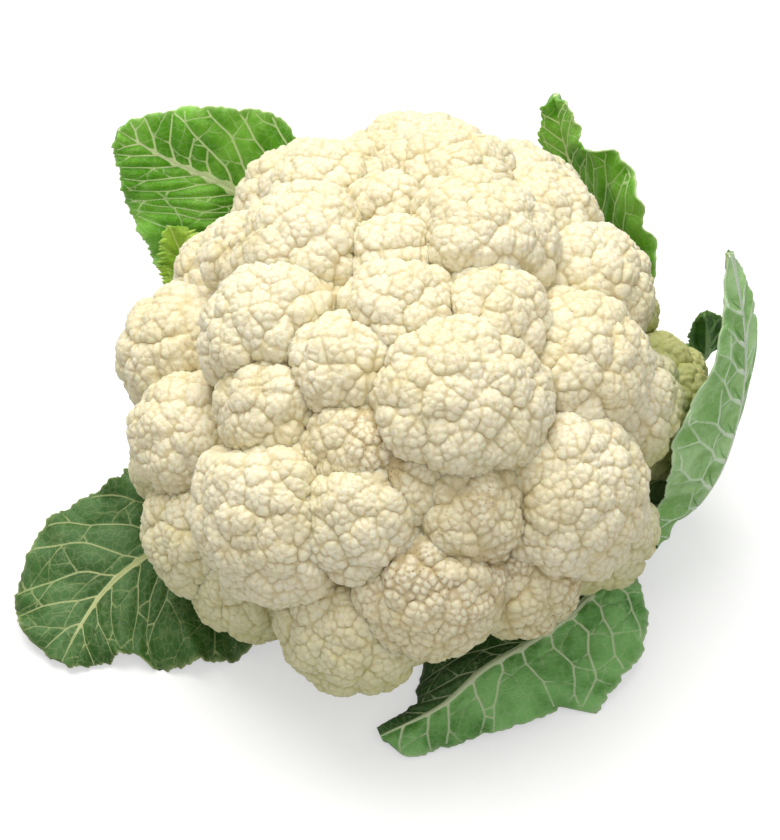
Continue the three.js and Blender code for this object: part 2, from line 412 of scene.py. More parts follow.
@lru_cache(maxsize=None)
def network_group() -> bpy.types.NodeTree:
    """Make the group for the finest veins, a net of cells on the flat leaf.

    Returns:
        A group with a mask that is 1 on the lines of the net.
    """
    sheet, given, result = new_group("vein_network", {"Cell": 3.0, "Line": 0.08}, ("Lines",))
    warp = sheet.add("TexNoise")
    sheet.feed(warp, Vector=given.outputs["Vector"], Scale=0.25, Detail=2.0)
    shift = sheet.add("VectorMath", operation="MULTIPLY_ADD")
    for socket, source in zip(shift.inputs, (warp.outputs["Color"], NET_WARP, given.outputs["Vector"])):
        sheet.connect(socket, source)
    cells = sheet.add("TexVoronoi", feature="DISTANCE_TO_EDGE")
    sheet.feed(cells, Vector=shift.outputs[0], Scale=sheet.math("DIVIDE", 1.0, given.outputs["Cell"]))
    edge = sheet.math("DIVIDE", cells.outputs["Distance"], given.outputs["Line"])
    sheet.feed(result, Lines=sheet.math("SUBTRACT", 1.0, edge, clamp=True))
    return sheet.tree


def place_group(
    sheet: Sheet, tree: bpy.types.NodeTree, vector: bpy.types.NodeSocket, **values: float
) -> bpy.types.Node:
    """Place a shader group in a material.

    Args:
        sheet: The material's sheet.
        tree: The group.
        vector: Where on the surface the group reads.
        values: The group's numbers for this material.

    Returns:
        The group's node.
    """
    node = sheet.add("Group")
    node.node_tree = tree
    return sheet.feed(node, Vector=vector, **values)


def start_material(name: str) -> tuple[bpy.types.Material, Sheet, bpy.types.Node]:
    """Make a material with a Principled shader on it.

    Args:
        name: The material's name.

    Returns:
        The material, its sheet and the shader.
    """
    material = bpy.data.materials.new(name)
    material.use_nodes = True
    sheet = Sheet(material.node_tree)
    return material, sheet, material.node_tree.nodes["Principled BSDF"]


@dataclass(frozen=True)
class Skin:
    """How a piece's surface takes the light."""

    relief: float  # depth of the relief, in metres
    strength: float  # strength of the relief
    grain: float  # how much rougher the grain makes the surface
    weight: float  # share of light that goes in under the surface
    radius: Colour
    scale: float  # how far the light goes, in metres
    specular: float = 0.5
    sunk: bool = False  # whether the relief goes in

    def dress(
        self,
        sheet: Sheet,
        shader: bpy.types.Node,
        colour: bpy.types.NodeSocket,
        height: bpy.types.NodeSocket,
        grain: bpy.types.NodeSocket,
        roughness: float,
    ) -> None:
        """Wire a material's shader.

        Args:
            sheet: The material's sheet.
            shader: The Principled shader.
            colour: The surface's colour.
            height: The relief.
            grain: The mask of fine grain.
            roughness: The roughness where there is no grain.
        """
        bump = sheet.add("Bump", invert=self.sunk)
        sheet.feed(bump, Strength=self.strength, Distance=self.relief, Height=height)
        rough = sheet.math("ADD", sheet.times(grain, self.grain), roughness)
        sheet.feed(shader, Base_Color=colour, Roughness=rough, Normal=bump.outputs["Normal"])
        shader.inputs["Subsurface Weight"].default_value = self.weight
        shader.inputs["Subsurface Radius"].default_value = self.radius
        shader.inputs["Subsurface Scale"].default_value = self.scale
        shader.inputs["Specular IOR Level"].default_value = self.specular


@dataclass(frozen=True)
class CurdFinish:
    """The florets' skin: cream, painted ochre to brown as shade in its creases and recesses, painted a shaded
    green at its foot and its side by the tall leaf, with brown age marks on a few florets and a few dark
    specks where florets press together.
    """

    cream: Colour = (0.755, 0.69, 0.475)
    ivory: Colour = (0.80, 0.745, 0.56)
    # crease: painted shade, the ochre that the creases and recesses are painted
    crease: Colour = (0.60, 0.485, 0.215)
    # shade: painted shade in the deepest recesses, and also the brown of aged florets' creases
    shade: Colour = (0.40, 0.26, 0.09)
    speck: Colour = (0.20, 0.115, 0.045)
    # green: painted shade, a green-tinted shade on the curd's foot and its side by the tall leaf
    green: Colour = (0.37, 0.41, 0.085)
    branch: Colour = (0.78, 0.76, 0.50)
    roughness: float = 0.55
    skin: Skin = Skin(0.0004, 0.35, 0.12, 0.5, (1.0, 0.75, 0.4), 0.0035, specular=0.35, sunk=True)

    def material(self) -> bpy.types.Material:
        """Build the material.

        Returns:
            The curd's material.
        """
        material, sheet, shader = start_material("curd_skin")
        place = sheet.add("TexCoord").outputs["Object"]
        crease, sunk = sheet.mask("crease"), sheet.mask("sunk")
        mottle = place_group(sheet, mottle_group(), place, Scale=45.0, Grain=1400.0)
        patches, grain = mottle.outputs["Patches"], mottle.outputs["Grain"]
        colour = sheet.mix(patches, self.cream, self.ivory)
        # Painted shade: the creases and recesses are painted ochre, and the deepest recesses brown.
        colour = sheet.mix(sheet.ramp(crease, 0.2, 0.9, 0.0, 0.55), colour, self.crease)
        colour = sheet.mix(sheet.ramp(sunk, 0.15, 0.85, 0.0, 0.85), colour, self.crease)
        colour = sheet.mix(sheet.ramp(sunk, 0.55, 1.0, 0.0, 0.8), colour, self.shade)
        # Painted shade: green-tinted shade on the foot and on the side by the tall leaf.
        colour = sheet.mix(sheet.times(sheet.mask("green_shade"), 0.75), colour, self.green)
        specks = place_group(sheet, speckle_group(), place, Scale=1000.0, Size=0.26, Share=0.45)
        # Brown age marks on a few florets, together with painted shade in the recesses, darken the creases;
        # the specks sit in both.
        worn = sheet.times(sheet.mask("aged"), sheet.ramp(patches, 0.2, 0.8, 0.25, 0.9))
        age_and_shade = sheet.math("MAXIMUM", worn, sheet.ramp(sunk, 0.2, 0.6, 0.0, 0.5))
        age_and_shade = sheet.times(age_and_shade, sheet.ramp(crease, 0.1, 0.5))
        colour = sheet.mix(sheet.times(age_and_shade, 0.45), colour, self.shade)
        spots = sheet.times(specks.outputs["Spots"], age_and_shade)
        colour = sheet.mix(sheet.times(spots, 0.75), colour, self.speck)
        colour = sheet.mix(sheet.mask("branch"), colour, self.branch)
        grains = sheet.add("TexVoronoi", feature="F1")
        sheet.feed(grains, Vector=place, Scale=1100.0)
        height = sheet.math("ADD", grains.outputs["Distance"], sheet.times(grain, 0.3))
        self.skin.dress(sheet, shader, colour, height, grain, self.roughness)
        return material


@dataclass(frozen=True)
class StalkFinish:
    """The stalk: a pale green rind, and a cream cut with a ring of pith."""

    rind: Colour = (0.52, 0.60, 0.28)
    rind_pale: Colour = (0.70, 0.74, 0.46)
    cut: Colour = (0.80, 0.76, 0.52)
    cut_brown: Colour = (0.55, 0.42, 0.20)
    roughness: float = 0.4
    skin: Skin = Skin(0.0005, 0.3, 0.2, 0.2, (1.0, 0.9, 0.4), 0.003)

    def material(self) -> bpy.types.Material:
        """Build the material.

        Returns:
            The stalk's material.
        """
        material, sheet, shader = start_material("stalk_rind")
        place = sheet.add("TexCoord").outputs["Object"]
        mottle = place_group(sheet, mottle_group(), place, Scale=90.0, Grain=1500.0)
        patches, grain = mottle.outputs["Patches"], mottle.outputs["Grain"]
        colour = sheet.mix(patches, self.rind, self.rind_pale)
        face = sheet.mix(sheet.times(patches, 0.5), self.cut, self.cut_brown)
        colour = sheet.mix(sheet.mask("cut"), colour, face)
        self.skin.dress(sheet, shader, colour, grain, grain, self.roughness)
        return material


@dataclass(frozen=True)
class LeafFinish:
    """A leaf's colours, from blade to vein, above and below."""

    name: str
    slot: Slot
    blade: Colour
    blade_light: Colour
    vein: Colour
    under: Colour
    under_light: Colour
    under_vein: Colour
    bloom: float  # how grey the wax makes the upper side
    roughness: float = 0.42
    skin: Skin = Skin(0.0005, 0.3, 0.15, 0.12, (0.5, 1.0, 0.2), 0.0015, specular=0.28)

    def material(self) -> bpy.types.Material:
        """Build the material.

        Returns:
            The leaf's material, for both sides of the blade.
        """
        material, sheet, shader = start_material(self.name)
        place = sheet.add("TexCoord").outputs["Object"]
        flat = sheet.add("Attribute", attribute_name="flat").outputs["Vector"]
        line = sheet.ramp(sheet.mask("outside"), -0.12, 0.16, 1.0, 0.0)
        under = sheet.mask("under")
        mottle = place_group(sheet, mottle_group(), place, Scale=70.0, Grain=1300.0)
        patches, grain = mottle.outputs["Patches"], mottle.outputs["Grain"]
        net = place_group(sheet, network_group(), flat, Cell=2.6, Line=0.10).outputs["Lines"]
        upper = sheet.mix(patches, self.blade, self.blade_light)
        # Painted highlight: the blade is painted lighter where it puffs up between the veins.
        upper = sheet.mix(sheet.times(sheet.mask("puff"), 0.3), upper, self.blade_light)
        upper = sheet.mix(sheet.times(sheet.ramp(patches, 0.2, 1.0), self.bloom), upper, WAX)
        lower = sheet.mix(patches, self.under, self.under_light)
        blade = sheet.mix(under, upper, lower)
        # Painted shadow: the half of a blade under the curd is painted dark.
        blade = sheet.mix(sheet.times(sheet.mask("deep"), 0.75), blade, CURD_SHADOW)
        stripe = sheet.mix(under, self.vein, self.under_vein)
        vein = sheet.times(line, sheet.mask("strength"))
        rim = sheet.times(sheet.mask("rim"), 0.6)
        for share in (sheet.times(net, 0.13), vein, sheet.mask("stem"), rim):
            blade = sheet.mix(share, blade, stripe)
        relief = sheet.math("ADD", sheet.times(net, 0.5), grain)
        self.skin.dress(sheet, shader, blade, relief, grain, self.roughness)
        return material


BRIGHT_LEAF = LeafFinish(
    name="bright_leaf",
    slot=Slot.GREEN,
    blade=(0.080, 0.31, 0.006),
    blade_light=(0.22, 0.56, 0.04),
    vein=(0.72, 0.86, 0.46),
    under=(0.20, 0.37, 0.12),
    under_light=(0.28, 0.46, 0.18),
    under_vein=(0.58, 0.68, 0.40),
    bloom=0.04,
)
DEEP_LEAF = LeafFinish(
    name="deep_leaf",
    slot=Slot.BLUE_GREEN,
    blade=(0.024, 0.082, 0.010),
    blade_light=(0.060, 0.155, 0.028),
    vein=(0.46, 0.50, 0.22),
    under=(0.17, 0.29, 0.12),
    under_light=(0.24, 0.37, 0.18),
    under_vein=(0.52, 0.62, 0.38),
    bloom=0.04,
)
MIDDLE_LEAF = LeafFinish(
    name="middle_leaf",
    slot=Slot.BLUE_GREEN,
    blade=(0.052, 0.20, 0.022),
    blade_light=(0.20, 0.46, 0.12),
    vein=(0.58, 0.66, 0.42),
    under=(0.20, 0.33, 0.14),
    under_light=(0.27, 0.41, 0.20),
    under_vein=(0.55, 0.65, 0.42),
    bloom=0.05,
)
PALE_LEAF = LeafFinish(
    name="pale_leaf",
    slot=Slot.GLAUCOUS,
    blade=(0.03, 0.11, 0.015),
    blade_light=(0.07, 0.20, 0.04),
    vein=(0.50, 0.62, 0.28),
    under=(0.21, 0.43, 0.11),
    under_light=(0.43, 0.67, 0.30),
    under_vein=(0.72, 0.83, 0.64),
    bloom=0.02,
    roughness=0.5,
)
# Painted shade: the small leaf tucked between the curd and the tall leaf, darkened on both sides for the shade
# it sits in.
SHADED_LEAF = LeafFinish(
    name="shaded_leaf",
    slot=Slot.BLUE_GREEN,
    blade=(0.016, 0.072, 0.002),
    blade_light=(0.038, 0.13, 0.009),
    vein=(0.20, 0.34, 0.10),
    under=(0.024, 0.10, 0.006),
    under_light=(0.06, 0.19, 0.018),
    under_vein=(0.18, 0.32, 0.10),
    bloom=0.0,
)
YOUNG_LEAF = LeafFinish(
    name="young_leaf",
    slot=Slot.YOUNG,
    blade=(0.13, 0.30, 0.008),
    blade_light=(0.34, 0.55, 0.05),
    vein=(0.55, 0.70, 0.20),
    under=(0.25, 0.40, 0.10),
    under_light=(0.32, 0.47, 0.15),
    under_vein=(0.60, 0.68, 0.30),
    bloom=0.0,
)


# ---- The curd ----


@dataclass(frozen=True)
class KnobLayer:
    """One size of knob on a floret: rounded domes that meet in creases."""

    width: float
    relief: float  # height of a knob, as a share of its width
    roundness: float  # below 1 a knob is flat on top and drops steeply at its edge
    scatter: float = 0.2  # how far knobs stray from their spiral, as a share of their width

    def raise_domes(self, nearest: np.ndarray, second: np.ndarray) -> tuple[np.ndarray, np.ndarray]:
        """Raise a dome round every knob's centre.

        Args:
            nearest: Distance of each point to the nearest knob's centre.
            second: Distance to the second nearest.

        Returns:
            The height of each point, and how deep it lies in a crease, from 0 to 1.
        """
        width = nearest + second
        off_centre = np.clip(2 * nearest / np.maximum(width, 1e-6), 0, 1)
        return self.relief * width * (1 - off_centre**2) ** self.roundness, off_centre**3


@dataclass
class Floret:
    """A cap on its branch, pressed against its neighbours."""

    name: str
    centre: np.ndarray
    radius: float
    foot: np.ndarray
    seed: int
    wall_normals: np.ndarray = field(default_factory=lambda: np.zeros((0, 3)))
    wall_distances: np.ndarray = field(default_factory=lambda: np.zeros(0))
    branch_length: float = 0.0

    @property
    def inward(self) -> np.ndarray:
        """The direction from the cap to the foot of the branch."""
        return unit(self.foot - self.centre)


@dataclass
class Curd:
    """The dome of florets."""

    half_width: float = 84
    half_depth: float = 94
    widest_at: float = 48
    crown: float = 82
    skirt: float = 50
    gap: float = 0.4
    sink: float = 0.92
    cap: float = 1.44  # a cap's radius, as a share of the room that the floret is given
    bare: float = 2.6  # how much smaller the cap is before its knobs grow
    branch_top: float = 0.62
    branch_foot: float = 0.3
    branch_rise: float = 0.45
    foot_range: tuple[float, float] = (14, 40)
    press: float = 1.5  # how softly a cap turns over where it meets its neighbour
    spacing: float = 0.43  # distance between the mesh's points on the outside of a cap
    crowding: float = 0.5  # how far the mesh's points are drawn to the outside of a cap
    evenings: int = 14  # how many times the points are evened out over the smooth body
    clumps: KnobLayer = KnobLayer(width=15.0, relief=0.14, roundness=1.15)
    lobes: KnobLayer = KnobLayer(width=7.0, relief=0.17, roundness=1.0)
    knobs: KnobLayer = KnobLayer(width=2.4, relief=0.26, roundness=0.68)
    grains: KnobLayer = KnobLayer(width=1.2, relief=0.18, roundness=0.8)
    speckled: frozenset[str] = frozenset(
        {"floret_shoulder_7", "floret_flank_1", "floret_flank_2", "floret_flank_13", "floret_flank_14"}
    )
    clump_spread: float = 118.0  # degrees from the crown of a cap that its clumps reach
    clump_share: float = 1.15  # clumps for each square of their own width
    knob_share: float = 1.75  # the same for the smaller knobs on them
    clump_crowding: float = 0.58  # below 1 the clumps at a cap's crown are larger, and 0.5 spaces them evenly
    knobs_from: tuple[float, float] = (0.30, 0.75)  # how full a cap is where knobs start, and are whole
    knobs_until: tuple[float, float] = (0.45, 0.8)  # cosine to the branch where they shrink, and are gone
    fine_until: tuple[float, float] = (0.6, 0.9)  # the same for the fine ones
    fine_height: tuple[float, float] = (0.55, 0.45)  # of the fine ones where flat, and what fullness adds
    branch_from: tuple[float, float] = (0.62, 0.86)  # cosine where the skin turns to the branch's
    crease_weights: tuple[float, float, float] = (0.45, 0.6, 0.15)  # of the lobes, knobs and grains
    crease_power: float = 1.6  # how narrow a crease's colour is
    # the side that is painted with green-tinted shade
    shaded_side: tuple[float, float, float] = (0.985, 0.05, 0.16)  # towards the tall leaf
    seed: int = 7
    finish: CurdFinish = CurdFinish()
    # Tier by tier from the crown down: azimuth in degrees from the front towards the right, polar
    # angle in degrees from the top, radius, and how far the floret stands out of the envelope.
    tiers: dict[str, tuple[tuple[int, int, int, int], ...]] = field(
        default_factory=lambda: {
            "crown": (
                (-38, 6, 10, -1), (-150, 12, 9, -1), (90, 14, 20, 1), (-8, 19, 14, 0),
                (-95, 24, 18, 1), (45, 26, 14, 0), (158, 26, 18, 0), (-140, 31, 15, 0),
            ),
            "shoulder": (
                (-29, 33, 13, 0), (-63, 37, 18, 1), (15, 38, 23, 3), (120, 38, 15, 0),
                (-104, 42, 12, -2), (96, 46, 17, 0), (-17, 48, 14, -4), (63, 47, 18, 1),
                (-46, 48, 13, 0), (178, 52, 19, 0),
            ),
            "flank": (
                (0, 54, 14, -5), (14, 61, 13, 0), (-13, 62, 16, 0), (147, 62, 19, 0),
                (-148, 62, 19, 0), (40, 67, 21, 2), (-33, 68, 22, 2), (76, 69, 15, -3),
                (-120, 70, 16, -4), (-92, 70, 16, 2), (113, 72, 15, -5), (-70, 74, 15, 0),
                (4, 78, 18, 1), (27, 85, 14, -3),
            ),
            "skirt": (
                (175, 90, 19, 0), (-58, 100, 16, 1), (55, 95, 14, -4), (142, 97, 18, 0),
                (-148, 97, 18, -1), (-14, 101, 17, 1), (94, 91, 17, 4), (-112, 102, 17, -2),
                (-82, 104, 15, -2), (115, 104, 16, -2), (-46, 116, 16, 0),
            ),
        }
    )

    def envelope_at(self, azimuth: float, polar: float) -> tuple[np.ndarray, np.ndarray]:
        """Find a place on the egg-shaped envelope.

        Args:
            azimuth: Degrees from the front towards the right.
            polar: Degrees from the top.

        Returns:
            The point and the outward direction there.
        """
        a, p = math.radians(azimuth), math.radians(polar)
        direction = np.array([math.sin(p) * math.sin(a), -math.sin(p) * math.cos(a), math.cos(p)])
        radii = np.array([self.half_width, self.half_depth, self.crown if polar < 90 else self.skirt])
        return direction * radii + [0, 0, self.widest_at], unit(direction / radii)

    def grow(self, stalk: Stalk) -> list[Floret]:
        """Place every floret and the walls between it and its neighbours.

        Args:
            stalk: The stalk that the branches meet.

        Returns:
            The florets.
        """
        florets = []
        for tier, rows in self.tiers.items():
            for number, (azimuth, polar, radius, lift) in enumerate(rows, 1):
                point, normal = self.envelope_at(azimuth, polar)
                centre = point + normal * (lift - self.sink * radius)
                foot = np.array([0, 0, np.clip(centre[2] * self.branch_rise, *self.foot_range)])
                name = f"floret_{tier}_{number}"
                florets.append(Floret(name, centre, radius, foot, self.seed + len(florets)))
        for floret in florets:
            others = [other for other in florets if other is not floret]
            towards = np.array([other.centre for other in others]) - floret.centre
            apart = np.linalg.norm(towards, axis=1)
            radii = np.array([other.radius for other in others])
            share = (apart**2 + floret.radius**2 - radii**2) / (2 * apart)
            clear = -floret.centre @ floret.inward - stalk.reach(-floret.inward) - self.gap
            near = share < 2.5 * floret.radius
            floret.wall_normals = np.vstack([unit(towards)[near], floret.inward])
            floret.wall_distances = np.append(share[near] - self.gap / 2, clear)
            floret.branch_length = clear
        return florets

    def reach(self, floret: Floret, directions: np.ndarray) -> tuple[np.ndarray, np.ndarray]:
        """Measure a floret's smooth body from its centre.

        Args:
            floret: The floret.
            directions: Unit vectors.

        Returns:
            The distance along each direction, and its share of the cap's own radius.
        """
        cap = self.bare_cap(floret)
        cosine = directions @ floret.inward
        sine = np.sqrt(np.maximum(0, 1 - cosine**2))
        taper = floret.radius * (self.branch_top - self.branch_foot) / floret.branch_length
        branch = floret.radius * self.branch_top / np.maximum(sine + taper * cosine, 1e-3)
        branch = np.minimum(branch, floret.branch_length / np.maximum(cosine, 1e-3))
        free = np.where(cosine > 0, np.maximum(cap, branch), cap)
        facing = directions @ floret.wall_normals.T
        to_wall = np.where(facing > 1e-3, floret.wall_distances / np.maximum(facing, 1e-3), 1e6)
        softened = np.exp(-free / self.press) + np.exp(-to_wall / self.press).sum(axis=1)
        reach = -self.press * np.log(softened)
        reach = np.minimum(reach, np.minimum(free, to_wall.min(axis=1)))
        return reach, reach / cap

    def bare_cap(self, floret: Floret) -> float:
        """Return the radius of a floret's cap before its knobs grow."""
        return floret.radius * self.cap - self.bare

    def clump_centres(self, floret: Floret, rng: np.random.Generator) -> np.ndarray:
        """Set out a floret's clumps in a spiral from its crown, small ones first.

        Args:
            floret: The floret.
            rng: The floret's own random numbers.

        Returns:
            The clumps' centres on the smooth body.
        """
        furthest = math.radians(self.clump_spread)
        area = 2 * math.pi * self.bare_cap(floret) ** 2 * (1 - math.cos(furthest))
        count = max(5, round(area / self.clumps.width**2 * self.clump_share))
        order = (np.arange(count) + 0.35) / count
        stray = self.clumps.scatter
        polar = furthest * order**self.clump_crowding * (1 + rng.normal(0, 0.3 * stray, count))
        around = np.arange(count) * GOLDEN_ANGLE + rng.uniform(0, 2 * math.pi)
        around = around + rng.normal(0, stray, count)
        along, across = self.cross_axes(-floret.inward)
        directions = (
            np.outer(np.cos(polar), -floret.inward)
            + np.outer(np.sin(polar) * np.cos(around), along)
            + np.outer(np.sin(polar) * np.sin(around), across)
        )
        reach, _ = self.reach(floret, directions)
        return floret.centre + directions * reach[:, None]

    @staticmethod
    def cross_axes(axis: np.ndarray) -> tuple[np.ndarray, np.ndarray]:
        """Find two directions square to an axis and to each other.

        Args:
            axis: A unit vector.

        Returns:
            The two unit vectors.
        """
        other = np.array([1.0, 0, 0]) if abs(axis[0]) < 0.8 else np.array([0, 1.0, 0])
        first = unit(np.cross(axis, other))
        return first, np.cross(axis, first)

    @staticmethod
    def tree_of(points: np.ndarray) -> kdtree.KDTree:
        """Index points for finding the nearest."""
        tree = kdtree.KDTree(len(points))
        for number, point in enumerate(points):
            tree.insert(point, number)
        tree.balance()
        return tree

    def two_nearest(self, points: np.ndarray, centres: np.ndarray) -> np.ndarray:
        """Measure every point's distance to its two nearest centres.

        Args:
            points: The points.
            centres: The centres.

        Returns:
            Two distances per point.
        """
        tree = self.tree_of(centres)
        return np.array([[found[2] for found in tree.find_n(point, 2)] for point in points])

    def offspring(
        self,
        layer: KnobLayer,
        parents: np.ndarray,
        points: np.ndarray,
        normals: np.ndarray,
        rng: np.random.Generator,
    ) -> np.ndarray:
        """Set out smaller knobs in a spiral on every larger one.

        Args:
            layer: The smaller knobs.
            parents: The larger knobs' centres.
            points: The surface's points.
            normals: The outward direction at each.
            rng: The floret's own random numbers.

        Returns:
            The smaller knobs' centres, on the surface.
        """
        surface, owners = self.tree_of(points), self.tree_of(parents)
        born = []
        for number, parent in enumerate(parents):
            beside = owners.find_n(parent, 5)
            room = float(np.mean([found[2] for found in beside[1:]]))
            _, at, _ = surface.find(parent)
            along, across = self.cross_axes(normals[at])
            count = max(3, round(self.knob_share * (room / layer.width) ** 2))
            order = (np.arange(count) + 0.4) / count
            out = 0.85 * room * order**0.6
            turn = np.arange(count) * GOLDEN_ANGLE + rng.uniform(0, 2 * math.pi)
            stray = rng.normal(0, layer.scatter * layer.width, (count, 2))
            for distance, angle, (aside, up) in zip(out, turn, stray):
                east, north = distance * math.cos(angle) + aside, distance * math.sin(angle) + up
                landed, _, _ = surface.find(points[at] + along * east + across * north)
                if owners.find(landed)[1] == number:
                    born.append(landed)
        return np.array(born)

    def build_floret(self, floret: Floret, material: bpy.types.Material) -> bpy.types.Object:
        """Grow one floret's lobes, knobs and grains out of its smooth body.

        Args:
            floret: The floret.
            material: The curd's material.

        Returns:
            The floret's object.
        """
        rng = np.random.default_rng(floret.seed)
        frequency = max(12, round(1.1 * self.bare_cap(floret) / (self.spacing * (1 + self.crowding))))
        sphere, faces = geodesic_sphere(frequency)
        directions = unit(sphere - self.crowding * floret.inward)
        for _ in range(self.evenings):
            reach, _ = self.reach(floret, directions)
            middles = (directions * reach[:, None])[faces].mean(axis=1)
            directions = unit(gather(middles, faces, len(directions)))
        reach, fullness = self.reach(floret, directions)
        points = floret.centre + directions * reach[:, None]
        # Knobs cover the outside of the cap. They fade where it is pressed flat and where it turns to branch.
        cosine = directions @ floret.inward
        granular = smooth_step(*self.knobs_from, fullness) * (1 - smooth_step(*self.knobs_until, cosine))
        flat_height, full_height = self.fine_height
        fine = (flat_height + full_height * granular) * (1 - smooth_step(*self.fine_until, cosine))
        smooth_normals = vertex_normals(points, faces)
        centres = self.clump_centres(floret, rng)
        creases = []
        for layer, mask in ((self.clumps, granular), (self.lobes, granular), (self.knobs, fine)):
            normals = vertex_normals(points, faces)
            if layer is not self.clumps:
                centres = self.offspring(layer, centres, points, normals, rng)
            height, crease = layer.raise_domes(*self.two_nearest(points, centres).T)
            creases.append(crease)
            if layer is not self.knobs:
                normals = unit(normals + smooth_normals)
            points = points + normals * (height * mask)[:, None]
        normals = vertex_normals(points, faces)
        cells = np.array([noise.voronoi(Vector(point / self.grains.width))[0][:2] for point in points])
        height, grain_crease = self.grains.raise_domes(*(cells * self.grains.width).T)
        points = points + normals * (height * fine)[:, None]
        branch = smooth_step(*self.branch_from, cosine)
        # The creases' depths are the mask for the shade painted into them.
        _, lobe_crease, knob_crease = (crease**self.crease_power for crease in creases)
        lobe, knob, grain = self.crease_weights
        crease = np.clip(lobe * lobe_crease + knob * knob_crease + grain * grain_crease, 0, 1)
        # How far a point lies in the recess between florets: as the sunk mask it carries the painted shade
        # there.
        depth = np.clip((1 - fullness) * 2.0, 0, 1) * (1 - branch)
        attributes = {
            "crease": crease * (1 - branch),
            "sunk": depth,
            "branch": branch,
            "green_shade": self.green_shade(points),
            "aged": np.full(len(points), float(floret.name in self.speckled)),
        }
        corner_uv = self.disc_map(directions, -floret.inward)[faces]
        # The foot of the branch would lie on the rim of the map, so it goes to a corner of it.
        behind = (cosine[faces] > 0.97).any(axis=1)
        corner_uv[behind] = np.array([(0.0, 0.0), (0.004, 0.0), (0.0, 0.004)])
        return make_piece(floret.name, points, faces, attributes, corner_uv, material)

    def green_shade(self, points: np.ndarray) -> np.ndarray:
        """Find how much painted green shade the curd gets: most on its foot and on its side towards the tall
        leaf.

        Args:
            points: Points on the curd.

        Returns:
            A share from 0 to 1 per point.
        """
        out = unit((points - [0, 0, self.widest_at]) / [self.half_width, self.half_depth, self.skirt])
        # Painted shade, tinted green: on the side towards the tall leaf, and darker towards the bottom.
        side_shade = smooth_step(0.78, 0.97, out @ self.shaded_side)
        foot = smooth_step(-0.45, 0.65, -out[:, 2]) * (0.80 + 0.20 * out[:, 0])
        return np.clip(np.maximum(side_shade, foot), 0, 1)

    def disc_map(self, directions: np.ndarray, axis: np.ndarray) -> np.ndarray:
        """Spread directions over a disc, with equal areas staying equal.

        Args:
            directions: Unit vectors.
            axis: The direction at the middle of the disc.

        Returns:
            Two numbers per direction, each from 0 to 1.
        """
        along, across = self.cross_axes(axis)
        east, north = directions @ along, directions @ across
        out = np.sqrt(np.maximum(0, (1 - directions @ axis) / 2))
        around = np.arctan2(north, east)
        return 0.5 + 0.495 * out[:, None] * np.stack([np.cos(around), np.sin(around)], axis=1)

    def build(self, stalk: Stalk) -> list[bpy.types.Object]:
        """Build every floret.

        Args:
            stalk: The stalk that the branches meet.

        Returns:
            The florets' objects.
        """
        material = self.finish.material()
        pieces = []
        for floret in self.grow(stalk):
            pieces.append(self.build_floret(floret, material))
            log.info("%s: %d points", floret.name, len(pieces[-1].data.vertices))
        return pieces


# ---- The stalk ----


@dataclass
class Stalk:
    """The stout stem that everything grows from, cut flat below."""

    cut_radius: float = 19
    cut_bevel: float = 2
    body_radius: float = 21
    body_top: float = 17
    neck_radius: float = 16
    neck_top: float = 34
    tip_radius: float = 6
    tip_top: float = 44
    sides: int = 120
    dent: float = 0.35  # depth of the rind's dents
    finish: StalkFinish = StalkFinish()

    def outline(self) -> np.ndarray:
        """Return the outline as radius and height, from the cut's axis to the tip's axis."""
        return np.array([
            (0, 0), (self.cut_radius, 0), (self.body_radius, self.cut_bevel),
            (self.body_radius, self.body_top), (self.neck_radius, self.neck_top),
            (self.tip_radius, self.tip_top), (0, self.tip_top),
        ], float)

    def reach(self, direction: np.ndarray) -> float:
        """Measure how far the stalk reaches along a direction from the origin."""
        sideways = math.hypot(direction[0], direction[1])
        return float(np.max(self.outline() @ [sideways, direction[2]]))

    def build(self) -> bpy.types.Object:
        """Build the stalk, with the shallow dents of its rind.

        Returns:
            The stalk's object.
        """
        rows = []
        for (r0, z0), (r1, z1) in zip(self.outline()[:-1], self.outline()[1:]):
            steps = max(2, round(math.hypot(r1 - r0, z1 - z0)))
            step = np.arange(steps)
            rows += zip(r0 + (r1 - r0) * step / steps, z0 + (z1 - z0) * step / steps)
        profile = np.array(rows[1:])
        around = np.arange(self.sides) * 2 * math.pi / self.sides
        radius = np.repeat(profile[:, :1], self.sides, axis=1)
        height = np.repeat(profile[:, 1:], self.sides, axis=1)
        side = smooth_step(0.5, 4.0, height) * smooth_step(3.0, 8.0, radius)
        dents = self.dent * np.sin(7 * around + height * 0.25) * np.cos(3 * around)
        radius = radius - side * (self.dent + dents)
        points = np.stack([radius * np.cos(around), radius * np.sin(around), height], axis=-1).reshape(-1, 3)
        points = np.vstack([points, [(0, 0, 0), (0, 0, self.tip_top)]])
        count = len(profile)
        near = np.arange(self.sides)
        far = (near + 1) % self.sides
        top = (count - 1) * self.sides
        below = np.arange(0, top, self.sides)
        above = below + self.sides
        triples = [(near + low, far + low, far + high) for low, high in zip(below, above)]
        triples += [(near + low, far + high, near + high) for low, high in zip(below, above)]
        triples.append((np.full_like(near, len(points) - 2), far, near))
        triples.append((np.full_like(near, len(points) - 1), near + top, far + top))
        faces = np.vstack([np.stack(triple, axis=1) for triple in triples])
        # The cut maps to a disc at the left of the square, and the rind to its right half.
        cut = (points[:, 2] < 0.01).astype(float)
        turn = np.arctan2(points[:, 1], points[:, 0]) / (2 * math.pi) + 0.5
        disc = 0.25 + points[:, :2] / (4.4 * self.body_radius)
        wall = np.stack([0.5 + 0.5 * turn, points[:, 2] / self.tip_top * 0.98], axis=1)
        corner_uv = np.where((cut[faces].min(axis=1) > 0.5)[:, None, None], disc[faces], wall[faces])
        seam = np.ptp(corner_uv[..., 0], axis=1) > 0.25
        corner_uv[seam, :, 0] = np.where(corner_uv[seam, :, 0] < 0.75, 1.0, corner_uv[seam, :, 0])
        return make_piece("stalk", points, faces, {"cut": cut}, corner_uv, self.finish.material())


# ---- The leaves ----


class Side(Enum):
    """The halves of a blade, seen from the foot with the upper side up."""

    LEFT = -1
    RIGHT = 1


